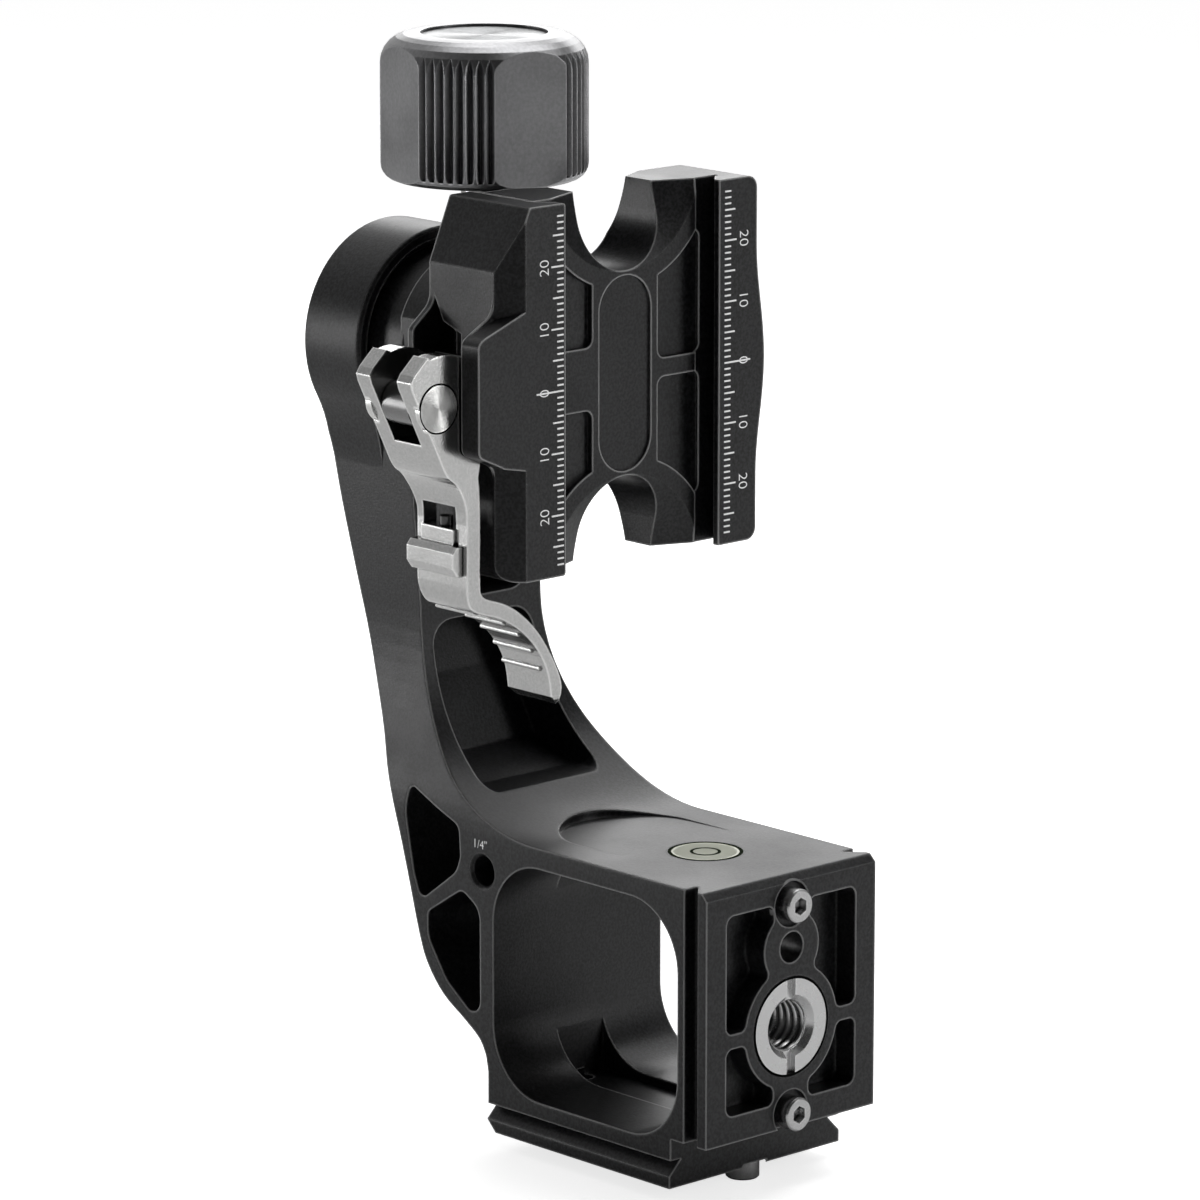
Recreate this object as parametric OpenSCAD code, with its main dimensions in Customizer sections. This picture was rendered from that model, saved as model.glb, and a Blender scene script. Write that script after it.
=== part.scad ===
// Gimbal tripod head: a side bracket with one tilt axis, a locking knob and a lever clamp.
// Millimetres, +Z up. The origin is the centre of the foot's underside.
// The tilt axis runs along X, and the end face with the threaded bush looks along +X.

/* [Foot and base] */
// Width across the foot's dovetail
foot_w = 38; // [37:0.1:39]
// Length of the foot along the tilt axis
foot_l = 43.4; // [42:0.1:45]
// Height of the dovetail's upright edge
dovetail_edge = 2; // [1.6:0.1:2.2]
// Depth of the dovetail's 45 degree slope
dovetail_slope = 2.6; // [2.2:0.1:2.8]
// Width of the bracket, and diameter of its drum
arm_w = 37.5; // [36.5:0.1:38]
// Height of the base's top face
base_h = 49.9; // [48:0.1:52]
// Overhang of the base past the foot, at the end face
nose_l = 8.1; // [7:0.1:9]
// Height of the overhang's underside
nose_z = 8.2; // [7.8:0.1:8.6]
// Thickness of the deck over the large window
deck_t = 3.4; // [3:0.1:4]
// Thickness of the end wall
end_wall = 6.6; // [6.2:0.1:7]
// Thickness of the floor under the large window
floor_t = 7.3; // [6.8:0.1:7.8]
// Length of the large window
window_l = 43.6; // [42:0.1:44.4]
// Corner radius of the large window
window_r = 11; // [9:0.5:12]
// Width of the channels in the window's floor and ceiling
channel_w = 10.3; // [9:0.1:12]
// Depth of those channels
channel_deep = 1.4; // [1:0.1:1.8]
// Chamfer along the base's top front edge
nose_chamfer = 1.2; // [0.8:0.1:1.6]

/* [Upright and drum] */
// Length of the flat deck, from the end face to where the sweep begins
deck_l = 40.5; // [39:0.1:42]
// Radius of the sweep from the deck into the upright
sweep_r = 33.3; // [32:0.1:34.5]
// How far the upright's front leans back between the sweep and the tilt axis
lean = 3.9; // [3:0.1:5]
// Height of the tilt axis over the foot's underside
axis_z = 125.4; // [123:0.1:128]
// Width of the upright
neck_w = 26.6; // [25:0.1:28]
// Height at which the base's sides begin to draw in
flare_z = 48; // [46:0.5:50]
// Height at which the sides reach the upright's width
flare_top_z = 82; // [79:0.5:85]
// Radius of the flare's outward bend
flare_r = 34; // [30:1:40]
// Distance from the end face to the drum's front rim
drum_setback = 82.7; // [81.5:0.1:84]
// Length of the drum
drum_l = 14.2; // [13.4:0.1:15]
// Depth of the recess in the drum's front
drum_recess = 2; // [1.6:0.1:2.4]
// Width of the drum's front rim
drum_rim = 1.9; // [1.5:0.1:2.2]
// Chamfer on the drum's back rim
drum_chamfer = 0.8; // [0.5:0.1:1.2]
// Radius of the fillets between the drum and the upright's sides
drum_fillet_r = 25; // [20:1:30]
// Thickness of the walls behind the upright's pockets
pocket_back = 3.2; // [2.8:0.1:3.8]
// Width of the large front pocket at its top
pocket_w = 21.6; // [20:0.1:22.5]
// Height of the large front pocket's top edge
pocket_top_z = 80.4; // [79:0.1:82]
// Height of the rib between the two front pockets
pocket_rib = 3.1; // [2.5:0.1:4]
// Height of the large front pocket's floor over the deck
pocket_step = 4.6; // [4:0.1:5.4]
// Half width of the flat scoop cut into the sweep
scoop_r = 12.2; // [11:0.1:13]
// Distance from the end face to the centre of the scoop's round end
scoop_in = 36.7; // [35:0.1:40]
// Fall of the scoop's floor from the level to its round end
scoop_fall = 0.4; // [0.2:0.05:0.6]

/* [End face] */
// Height of the bush over the foot's underside
bush_z = 24.9; // [24:0.1:25.6]
// Outer diameter of the bush
bush_d = 15.7; // [15:0.1:16.4]
// Core diameter of the bush's thread
bush_core_d = 8; // [7.6:0.1:8.2]
// Diameter of the bush's countersunk mouth
bush_mouth_d = 10.4; // [10:0.1:11]
// Width of the bush's two driver slots
bush_slot_w = 1.9; // [1.5:0.1:2.2]
// Wall round the bush
bush_wall = 2.35; // [2:0.05:2.6]
// How far the bush and its boss reach into the large window
bush_boss = 2.6; // [2:0.1:3]
// Core diameter of the two small threaded holes
small_hole_d = 5.1; // [4.9:0.05:5.3]
// Depth of the small hole in the bracket's side
side_hole_l = 9; // [7:0.5:11]
// Height of the small hole in the end face
small_hole_z = 38; // [37.5:0.1:38.6]
// Wall round the small hole
small_hole_wall = 3.5; // [3:0.1:3.8]
// Width of the end face's upright web
web_w = 7.8; // [7:0.1:8.6]
// Thickness of the end face's side ribs
rib_t = 2.4; // [2:0.1:3]
// Width of the end face's outer frame
frame_w = 4.4; // [4:0.1:4.8]
// Depth of the four pockets in the end face
end_pocket_deep = 4.4; // [3.6:0.1:4.8]
// Outer corner radius of those pockets
end_pocket_r = 1.6; // [1:0.1:2]
// Radius of the fillets between the end face's web, ribs and bosses
end_fillet_r = 1.4; // [1:0.1:1.8]
// Distance of the upper stop screw below the top face
stop_top_drop = 4.8; // [4.6:0.1:5.2]
// Distance of the lower stop screw above the overhang's underside
stop_low_rise = 2.5; // [2.3:0.1:3]

/* [Screws and level] */
// Diameter of the stop screws' threads
stop_d = 3; // [2.8:0.1:3.2]
// Diameter of the stop screws' heads
stop_head_d = 5.5; // [5.3:0.1:5.7]
// Height of the stop screws' heads
stop_head_h = 3; // [2.6:0.1:3.2]
// How far the heads stand proud
stop_proud = 2; // [1.6:0.1:2.4]
// Length of the stop screws' threads
stop_l = 4; // [3.2:0.1:4.4]
// Width across flats of the stop screws' sockets
stop_socket = 2.5; // [2.3:0.1:2.7]
// Distance from the foot's ends to its stop screws
foot_stop_in = 2.9; // [2.7:0.1:3.4]
// Diameter of the bubble level
level_d = 12; // [11:0.1:13]
// Height of the bubble level's housing
level_h = 2.6; // [2.2:0.1:2.8]
// Wall of the bubble level's housing
level_wall = 0.9; // [0.7:0.05:1.1]
// Distance from the end face to the level's centre
level_in = 19.9; // [18:0.1:21]
// Diameter of the level's bubble
bubble_d = 3; // [2.6:0.1:3.4]

/* [Tilt bearing] */
// Diameter of the tilt spindle
spindle_d = 12; // [11.6:0.1:12.2]
// Outer diameter of the tilt bearings
bearing_d = 21; // [20.8:0.1:21.6]
// Width of each bearing
bearing_w = 5; // [4.8:0.1:5.4]
// Radial thickness of each bearing ring
ring_t = 1.35; // [1.25:0.05:1.45]
// Diameter of the bearing balls
ball_d = 2.3; // [2.2:0.05:2.4]
// Number of balls in each bearing
ball_n = 12; // [9:1:14]
// Length of the brake sleeve between the bearings
brake_l = 11.4; // [11:0.1:12]
// Diameter of the brake sleeve
brake_d = 14.6; // [14:0.1:15]
// Gap round the hub that turns in the drum's front
hub_gap = 1.35; // [1.1:0.05:1.6]
// Thickness of the spindle's flange
flange_t = 1.5; // [1.3:0.1:1.7]
// Diameter of the spindle's flange
flange_d = 16; // [15.6:0.1:17]
// Depth of the spindle's foot in the drum
spigot_l = 2; // [1.6:0.1:2.2]
// Diameter of the spindle's bolt
bolt_d = 8; // [7.8:0.1:8.2]
// Thickness of the spindle's nut
spindle_nut_t = 2.6; // [2.2:0.1:3]
// Wall of the drum round its back cover
cap_wall = 4.75; // [3.8:0.05:5.6]
// Thickness of that cover
cap_t = 2; // [1.6:0.1:2.4]

/* [Knob] */
// Diameter of the knob
knob_d = 34; // [32:0.5:36]
// Height of the knob
knob_h = 23.9; // [22:0.1:26]
// Height of the knob's lower edge over the tilt axis
knob_rise = 27.9; // [27.5:0.1:30]
// Distance from the knob's axis to its flats
knob_flat = 15.6; // [15.2:0.1:16]
// Direction of the first flat
knob_turn = -13.3; // [-45:0.1:45]
// Grooves that a whole turn would hold
groove_pitch_n = 64; // [56:1:72]
// Grooves in each of the four grips
groove_n = 8; // [6:1:8]
// Depth of the grooves
groove_deep = 0.75; // [0.5:0.05:1]
// Radius of the knob's lower edge
knob_low_r = 2.6; // [2:0.1:3]
// Height of the knob's domed shoulder
dome_h = 4.9; // [4:0.1:5.5]
// Diameter of the bright disc in the knob's top
disc_d = 20.8; // [19:0.1:22]
// Thickness of that disc
disc_t = 1.4; // [1.2:0.1:1.8]
// Depth of the disc below the knob's rim
disc_sink = 0.5; // [0.3:0.1:0.8]
// Diameter of the knob's screw
knob_screw_d = 6; // [5.8:0.1:6.1]
// Diameter of the bright collar under the knob
collar_d = 7.8; // [7.4:0.1:8.4]
// Height of that collar
collar_h = 5.2; // [4.6:0.1:5.4]
// Radius of the boss that carries the knob's screw
boss_r = 6.2; // [5.6:0.1:6.4]

/* [Clamp] */
// Length of the clamp's jaws
clamp_l = 60; // [58:0.5:62]
// Distance from the end face to the plane of the jaws
jaw_setback = 34.7; // [34:0.1:35.4]
// Depth of the bed below the jaws
jaw_deep = 4.2; // [4:0.1:4.6]
// Opening between the jaws' tips when closed
jaw_gap = 33.6; // [33:0.1:34]
// Thickness of the jaws' tips
tip_t = 1.2; // [1:0.1:1.4]
// Thickness of the bed
bed_t = 12.1; // [11.6:0.1:12.6]
// Distance from the bed's middle to the fixed jaw's outer side, at its ends
fixed_side = 25.2; // [24.8:0.1:26]
// How far the fixed jaw's side bulges at its middle
fixed_bulge = 1.8; // [1:0.1:2.4]
// Corner radius of the fixed jaw's outer side
jaw_corner_r = 2; // [1.4:0.1:2.6]
// Radius of the scallops in the bed's front face
scallop_r = 16.5; // [16:0.1:17]
// Thickness left between the scallops' valleys
waist_h = 33.4; // [33:0.1:34.4]
// Radius of the slot that the scallops narrow to
slot_r = 8.5; // [8:0.1:9.2]
// Depth of the scallops' slopes
flare_deep = 3.6; // [3:0.1:4]
// Width of the oval sunk in the bed
oval_w = 11.3; // [10.5:0.1:12]
// Length of that oval
oval_l = 31.9; // [30:0.1:32.5]
// Depth of the oval
oval_deep = 0.5; // [0.3:0.1:0.7]
// Depth of the four pockets in the bed
bed_pocket_deep = 1.1; // [0.8:0.1:1.4]
// Width left between the scallops and those pockets
bed_wall = 2.9; // [2.6:0.1:3.4]

/* [Moving jaw] */
// Gap between the bed and the moving jaw when closed
jaw_play = 0.3; // [0.2:0.05:0.4]
// Distance from the bed's middle to the moving jaw's outer side
moving_side = 28.7; // [28.4:0.1:29.2]
// Distance from the bed's middle to the middle of the jaw's front plate
wing_side = 35.2; // [34.6:0.1:35.8]
// How far the moving jaw reaches behind the bed
jaw_back = 2.6; // [2.4:0.1:3]
// Thickness of the plate behind the lever's ears
back_plate_t = 1.2; // [1:0.1:1.3]
// How far that plate's outer side lies inside the front plate's
wing_step = 1.9; // [1.6:0.1:2.4]
// Thickness of the front plate that covers the lever's ears
wing_t = 4.1; // [3.8:0.1:4.2]
// Travel of the moving jaw
jaw_travel = 1.5; // [1.2:0.1:1.8]
// Diameter of the two guide pins
guide_d = 4; // [3.8:0.1:4.2]
// Spacing of the guide pins
guide_gap = 23; // [22:0.5:24]
// Thickness of the lever's wear pads
pad_t = 0.6; // [0.5:0.05:0.8]
// Width cut off the moving jaw's upper outer corner
jaw_cut = 4.4; // [3.6:0.1:5]
// Width of the chamfers beside the moving jaw's front plate
jaw_chamfer = 3.5; // [3:0.1:4]

/* [Lever] */
// Distance from the bed's middle to the lever's pin
pin_side = 39.7; // [39.4:0.1:40]
// Drop of the lever's pin below the tilt axis
pin_drop = 0.7; // [0:0.1:1]
// Diameter of the lever's pin
pin_d = 5; // [4.8:0.1:5.2]
// Diameter of the pin's heads
pin_head_d = 7.6; // [7.2:0.1:7.8]
// Thickness of the pin's heads
pin_head_t = 1.2; // [1:0.1:1.4]
// How far the lever's tip reaches below the jaws
lever_past = 22.3; // [21:0.1:23.5]
// Width of the lever
lever_w = 13; // [12.6:0.1:13.2]
// Thickness of each of the lever's ears
ear_t = 3.3; // [3:0.1:3.5]
// Radius of the cam where it bears when closed
cam_r = 10; // [9.9:0.05:10.05]
// Drop of the slot between the ears below the pin
ear_slot = 6.2; // [5.8:0.1:6.8]
// Width of the window in the lever's strap
catch_w = 7.8; // [7:0.1:8.4]
// Height of the catch's outer plate
catch_h = 4.8; // [4.4:0.1:5.4]
// Thickness of the catch's outer plate
catch_t = 2.1; // [1.8:0.1:2.4]
// Travel of the catch
catch_travel = 1.6; // [1.2:0.1:1.8]
// Diameter of the draw rod
rod_d = 4; // [3.8:0.1:4.2]
// Radius of the ridges on the finger tab
ridge_r = 0.45; // [0.3:0.05:0.6]
// Number of ridges
ridge_n = 6; // [4:1:7]
// Length of the graduations' short lines
tick_l = 1.3; // [1:0.1:1.6]
// Spacing of the graduations
tick_gap = 1; // [0.95:0.01:1.03]
// Number of graduations above and below the middle one
tick_n = 28; // [24:1:28]
// Distance of the fixed jaw's graduations from its tip
tick_in = 1.2; // [0.6:0.1:1.6]

/* [Hidden] */
$fn = 64;

// Overrun of every cut
over = dovetail_edge;
// Radial clearance of pieces that are fixed in each other
snug = 0.02;
// Radial clearance of pieces that turn or slide in each other
running = 0.05;
// Radial clearance round a ball
ball_play = 0.06;
// Gap between a turning piece and the face that it passes
face_gap = 0.3;
// Depth of the small edge chamfers
edge = 0.5;
// How far a fillet's arc runs into the faces that it joins
blend = 0.02;

// Places along the tilt axis
face_x = foot_l / 2 + nose_l;
window_x1 = face_x - end_wall;
window_x0 = window_x1 - window_l;
bush_x = window_x1 - bush_boss;
sweep_x = face_x - deck_l;
sweep_z = base_h + sweep_r;
upright_x = sweep_x - sweep_r;
drum_x1 = face_x - drum_setback;
drum_x0 = drum_x1 - drum_l;
recess_x = drum_x1 - drum_recess;
bearing_x0 = recess_x + flange_t;
brake_x0 = bearing_x0 + bearing_w;
brake_x1 = brake_x0 + brake_l;
bearing_x1 = brake_x1 + bearing_w;
spindle_x1 = bearing_x1 + spindle_nut_t + edge;
knob_x = (brake_x0 + brake_x1) / 2;
jaw_x = face_x - jaw_setback;
bed_x = jaw_x - jaw_deep;
back_x = bed_x - bed_t;
hub_x0 = recess_x + face_gap;
moving_back_x = back_x - jaw_back;

// The tilt bearing
drum_r = arm_w / 2;
hub_r = drum_r - drum_rim - hub_gap;
cap_r = drum_r - cap_wall;
waist_z = dovetail_edge + dovetail_slope;
race_r = (spindle_d + bearing_d) / 4;
hub_bore_r = bearing_d / 2;
nose_bore_r = hub_bore_r - ring_t + edge;
retainer_r = hub_bore_r + 2 * edge;
bolt_head_r = 0.8 * bolt_d;
bolt_head_h = 0.5 * bolt_d;
bolt_x = drum_x0 + cap_t;

// The clamp's places in height and across
clamp_z0 = axis_z - clamp_l / 2;
clamp_z1 = axis_z + clamp_l / 2;
tip_y = jaw_gap / 2;
undercut = jaw_deep - tip_t;
bed_end = tip_y + undercut;
scallop_rise = waist_h / 2 + scallop_r;
slot_rise = waist_h / 2 + slot_r;
flare_loss = scallop_r - slot_r + edge;
back_flare_r = scallop_r - 4 * edge;
neck_r = waist_h / 2 - 0.8 * edge;
neck_flat = neck_r - tip_t;
moving_y = bed_end + jaw_play - edge / 2;
back_wing_side = wing_side - wing_step;
pin_z = axis_z - pin_drop;
pin_y = -pin_side;
ears_x1 = jaw_x - wing_t - jaw_play;
ears_x0 = ears_x1 - lever_w;
ears_x = (ears_x0 + ears_x1) / 2;
ear_gap = lever_w - 2 * ear_t;
// Gap between the cam and its pads, past the cam's own rise at its slope
cam_play = 0.3 * edge;
pad_y = pin_y + cam_r + cam_play;
// Turn of the lever from shut to open
lever_turn = 80;
lever_l = clamp_l / 2 - pin_drop + lever_past;
cam_fall = jaw_travel / (lever_turn * PI / 180);
guide_in = 0.6 * moving_side;
spring_r = 0.8 * guide_d;
spring_l = 1.2 * guide_d;
nut_y = 0.78 * fixed_side;
nut_t = 0.7 * rod_d;

// The knob's heights
knob_z0 = axis_z + knob_rise;
knob_z1 = knob_z0 + knob_h;
boss_z = knob_z0 - collar_h;
pad_h = 0.9 * bearing_w;

// The level's floor, lens and bubble
level_x = face_x - level_in;
level_floor = 0.3 * level_h;
lens_t = 0.25 * level_h;
bubble_rise = 0.5 * (level_h - level_floor - lens_t);

// The hub's end, the relief round the foot's screws, and the height of the bed's bulge
hub_x1 = hub_x0 + 0.56 * hub_r;
notch_r = stop_head_d / 2 + 2 * edge;
bulge_z = 0.32 * clamp_l;

// The clamp's small pieces
guide_hold = 1.1 * guide_d;
eye_r = pin_d / 2 + 2 * edge;
eye_w = ear_gap - 4 * running;
tick_t = 0.2 * tick_l;

// The window in the lever's strap, and the catch in it
window_hi = pin_z - 0.326 * lever_l;
window_lo = pin_z - 0.530 * lever_l;
strap_y0 = pin_y + 0.1125 * lever_l;
strap_y1 = pin_y + 0.1665 * lever_l;
catch_z0 = pin_z - 0.539 * lever_l;
tongue_z1 = window_hi - 2 * catch_travel - edge;

// The knob's grooves and screw
groove_z = 0.06 * knob_h;
screw_in = 0.6 * knob_h;

// Places on the bracket's side: depth behind the sweep's start as a share of its radius, and
// height as a share of the base up to 1, then of the rise to the tilt axis up to 2
function side_point(s) =
    let (z = s[1] <= 1 ? s[1] * base_h : base_h + (s[1] - 1) * (axis_z - base_h))
    [sweep_x - s[0] * sweep_r, z];
function side_points(shares) = [for (s = shares) side_point(s)];

// The small threaded hole in the bracket's side
side_hole_share = [0.370, 0.872];
side_hole = side_point(side_hole_share);

// The bracket's back, from the drum down to the foot
back_shares = [[1.70, 1.90], [1.667, 1.783], [1.604, 1.664], [1.514, 1.531], [1.417, 1.399],
    [1.300, 1.262], [1.160, 1.134], [1.020, 1.000], [0.925, 0.802], [0.838, 0.601], [0.775, 0.505],
    [0.660, 0.418], [0.500, 0.352], [0.390, 0.300], [0.338, 0.240]];
// The two windows behind the base, and the radii of their corners as shares of the sweep
upper_window_shares = [[0.920, 1.066], [0.705, 1.028], [0.540, 1.002], [0.530, 0.900], [0.562, 0.845],
    [0.826, 0.716], [0.878, 0.805], [0.942, 1.010]];
upper_window_r_shares = [0.036, 0.300, 0.060, 0.100, 0.120, 0.045, 0.300, 0.300];
lower_window_shares = [[0.775, 0.684], [0.520, 0.792], [0.388, 0.740], [0.388, 0.390], [0.470, 0.388],
    [0.640, 0.470], [0.775, 0.600]];
lower_window_r_shares = [0.045, 0.060, 0.110, 0.060, 0.040, 0.200, 0.150];

// The lever's outline from its pin, as shares of its length: outer side down, then inner side up
ear_shares = [[-0.043, 0.162], [-0.098, 0.112], [-0.112, 0.090], [-0.105, 0.066]];
strap_out_shares = [[0.020, -0.192], [0.040, -0.222], [0.070, -0.246], [0.096, -0.285], [0.112, -0.345],
    [0.113, -0.460], [0.112, -0.575], [0.118, -0.622], [0.140, -0.652], [0.190, -0.672], [0.246, -0.690],
    [0.312, -0.727], [0.372, -0.777], [0.421, -0.839], [0.450, -0.905], [0.463, -0.995]];
strap_in_shares = [[0.489, -0.998], [0.504, -0.946], [0.486, -0.885], [0.450, -0.820], [0.410, -0.762],
    [0.364, -0.713], [0.310, -0.670], [0.258, -0.642], [0.195, -0.620], [0.170, -0.600], [0.165, -0.560],
    [0.167, -0.430], [0.166, -0.300], [0.158, -0.215]];
// How far the strap and the tab are drawn in behind, as shares of the lever's width, and the heights
// of that outline's corners below the pin, as shares of the lever's length
strap_in_share = 0.09;
tab_in_share = 0.2;
draw_in_shares = [0.27, 0.35, 0.58, 0.68, 1.01];
// The front plate of the moving jaw below and above its pin, as shares of the clamp's half length
wing_low_share = 0.385;
wing_high_share = 0.315;
wing_rise_share = 0.44;
side_rise_share = 0.655;
// Height of the lever's wear pads, as a share of the clamp's length
pad_h_share = 0.2;

function turn(p, a) = [p[0] * cos(a) - p[1] * sin(a), p[0] * sin(a) + p[1] * cos(a)];
function unit(v) = v / norm(v);

// Arc that rounds the corner p between the points a and b
function corner(p, a, b, r, n) =
    let (u = unit(a - p), w = unit(b - p), half = acos(u * w) / 2)
    let (c = p + unit(u + w) * r / sin(half))
    let (s = p + u * r / tan(half) - c, e = p + w * r / tan(half) - c)
    let (a0 = atan2(s[1], s[0]), sweep = (atan2(e[1], e[0]) - a0 + 540) % 360 - 180)
    [for (i = [0 : n]) c + turn([r, 0], a0 + sweep * i / n)];
// Outline with each corner rounded to its own radius
function rounded(pts, radii, n = 6) =
    let (k = len(pts))
    [for (i = [0 : k - 1]) each corner(pts[i], pts[(i + k - 1) % k], pts[(i + 1) % k], radii[i], n)];
// Smooth curve through the points
function curve(pts, n = 4) =
    let (k = len(pts) - 1)
    [for (i = [0 : k - 1], j = [0 : n - 1])
        let (a = pts[max(i - 1, 0)], b = pts[i], c = pts[i + 1], d = pts[min(i + 2, k)], t = j / n)
        0.5 * (2 * b + (c - a) * t + (2 * a - 5 * b + 4 * c - d) * t * t
            + (3 * b - a - 3 * c + d) * t * t * t)];
function arc(c, r, a0, a1, n) = [for (i = [0 : n]) c + turn([r, 0], a0 + (a1 - a0) * i / n)];

// Extrusion along X of an outline drawn in Y and Z
module along_x(x0, x1) {
    translate([x0, 0, 0]) rotate([90, 0, 90]) linear_extrude(x1 - x0) children();
}

// Extrusion along Y of an outline drawn in X and Z
module along_y(y0, y1) {
    translate([0, y1, 0]) rotate([90, 0, 0]) linear_extrude(y1 - y0) children();
}

// Cylinder or cone along X
module rod_x(x0, x1, r, y = 0, z = axis_z, r2 = undef) {
    end_r = is_undef(r2) ? r : r2;
    translate([x0, y, z]) rotate([0, 90, 0]) cylinder(h = x1 - x0, r1 = r, r2 = end_r);
}

// Cylinder along Y
module rod_y(y0, y1, r, x, z) {
    translate([x, y0, z]) rotate([-90, 0, 0]) cylinder(h = y1 - y0, r = r);
}

// Box between two corners
module box(a, b) {
    translate(a) cube(b - a);
}

// Rectangle with round corners
module round_rect(a, b, r) {
    translate([a[0] + r, a[1]]) square([b[0] - a[0] - 2 * r, b[1] - a[1]]);
    translate([a[0], a[1] + r]) square([b[0] - a[0], b[1] - a[1] - 2 * r]);
    for (x = [a[0] + r, b[0] - r], y = [a[1] + r, b[1] - r]) translate([x, y]) circle(r);
}

// Socket-head screw along +Z, with the underside of its head at the origin
module socket_screw(d, head_d, head_h, l, socket) {
    difference() {
        union() {
            translate([0, 0, -l]) cylinder(h = l, r = d / 2);
            cylinder(h = head_h - edge / 2, r = head_d / 2);
            translate([0, 0, head_h - edge / 2])
                cylinder(h = edge / 2, r1 = head_d / 2, r2 = head_d / 2 - edge / 2);
        }
        translate([0, 0, head_h / 2]) cylinder(h = head_h, r = socket / sqrt(3), $fn = 6);
    }
}

// Side outline of the base and upright
module arm_side() {
    difference() {
        polygon(concat(
            [[face_x, nose_z], [face_x, base_h - nose_chamfer], [face_x - nose_chamfer, base_h],
            [sweep_x, base_h], [upright_x, sweep_z], [upright_x - lean, axis_z]],
            curve(side_points(back_shares)),
            [[-foot_l / 2, 0.2 * base_h], [-foot_l / 2, waist_z], [foot_l / 2, waist_z],
            [foot_l / 2, nose_z]]));
        translate([sweep_x, sweep_z]) circle(sweep_r, $fn = 160);
    }
}

// Front outline of the base and upright, wide below and drawn in above
module arm_front() {
    draw_in = (arm_w - neck_w) / 2;
    rise = flare_top_z - flare_z;
    sum_r = rise * rise / (2 * draw_in) + draw_in / 2;
    bend = asin(rise / sum_r);
    low = arc([arm_w / 2 - flare_r, flare_z], flare_r, 0, bend, 6);
    high_r = sum_r - flare_r;
    high = arc([neck_w / 2 + high_r, flare_top_z], high_r, 180 + bend, 180, 8);
    half = concat([[arm_w / 2, 0]], low, high, [[neck_w / 2, axis_z]]);
    polygon(concat(half, [for (i = [len(half) - 1 : -1 : 0]) [-half[i][0], half[i][1]]]));
}

module foot() {
    w = foot_w / 2;
    n = w - dovetail_slope;
    rise = waist_z + over;
    intersection() {
        along_x(-foot_l / 2, foot_l / 2)
            polygon([[-w, 0], [w, 0], [w, dovetail_edge], [n, waist_z], [n, rise], [-n, rise],
                [-n, waist_z], [-w, dovetail_edge]]);
        along_y(-foot_w, foot_w)
            polygon([[-foot_l / 2 + dovetail_edge, 0], [foot_l / 2, 0], [foot_l / 2, rise],
                [-foot_l / 2, rise], [-foot_l / 2, dovetail_edge]]);
    }
}

// Fillet round the point c, in the corner that the other points reach into
module fillet(pts, c, r) {
    difference() {
        polygon(concat(pts, [c]));
        translate(c) circle(r + blend);
    }
}

// Fillets of one side of the end face, to its right or mirrored to its left
module end_fillets(s, boss_r_low, boss_r_high) {
    f = end_fillet_r;
    side = arm_w / 2 - frame_w;
    low = [0, bush_z];
    high = [0, small_hole_z];
    for (t = [-1, 1]) {
        // Between the bush's wall and the rib, and between the rib and the frame
        z = bush_z + t * (rib_t / 2 + f);
        c = [s * sqrt(pow(boss_r_low + f, 2) - pow(rib_t / 2 + f, 2)), z];
        fillet([low, [c[0], bush_z]], c, f);
        fillet([[s * (side - f), bush_z], [s * (side + edge), bush_z], [s * (side + edge), z]],
            [s * (side - f), z], f);
    }
    // Between the two bosses
    d = small_hole_z - bush_z;
    rise = (d * d + pow(boss_r_low + f, 2) - pow(boss_r_high + f, 2)) / (2 * d);
    fillet([low, high], [s * sqrt(pow(boss_r_low + f, 2) - rise * rise), bush_z + rise], f);
    // Between the bosses and the web, and between the web and the frame
    y = web_w / 2 + f;
    for (t = [[low, boss_r_low, -1, nose_z + frame_w], [high, boss_r_high, 1, base_h - frame_w]]) {
        z = t[0][1] + t[2] * sqrt(pow(t[1] + f, 2) - y * y);
        fillet([t[0], [0, z]], [s * y, z], f);
        far = t[3] + t[2] * edge;
        fillet([[0, t[3] - t[2] * f], [0, far], [s * y, far]], [s * y, t[3] - t[2] * f], f);
    }
}

// Relief between the frame, the web, the ribs and the bosses of the end face
module end_pockets() {
    y = arm_w / 2 - frame_w;
    boss_r_low = bush_d / 2 + bush_wall;
    boss_r_high = small_hole_d / 2 + small_hole_wall;
    difference() {
        round_rect([-y, nose_z + frame_w], [y, base_h - frame_w], end_pocket_r);
        translate([-web_w / 2, 0]) square([web_w, base_h]);
        translate([-arm_w / 2, bush_z - rib_t / 2]) square([arm_w, rib_t]);
        translate([0, bush_z]) circle(boss_r_low);
        translate([0, small_hole_z]) circle(boss_r_high);
        for (s = [-1, 1]) end_fillets(s, boss_r_low, boss_r_high);
    }
}

// The upright's two front pockets, seen from the side and from the front
module front_pockets() {
    floor_z = base_h + pocket_step;
    back = side_points(back_shares);
    wall = [pocket_back, 0];
    intersection() {
        along_y(-arm_w, arm_w)
            polygon(concat(
                [[sweep_x, floor_z], [upright_x + 0.29 * sweep_r, floor_z],
                [upright_x - 0.02 * sweep_r, floor_z + pocket_back]],
                [for (i = [5 : -1 : 2]) back[i] + wall],
                [[sweep_x, back[2][1]]]));
        along_x(drum_x0, sweep_x) {
            top = pocket_w / 2;
            low = top + 4 * edge;
            r = 0.4 * top;
            polygon(rounded([[-top, pocket_top_z], [top, pocket_top_z], [low, floor_z], [-low, floor_z]],
                [r, r, r / 2, r / 2]));
            z0 = pocket_top_z + pocket_rib;
            z1 = axis_z - drum_r - pocket_rib;
            round_rect([-top, z0], [top, z1], r);
        }
    }
}

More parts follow.
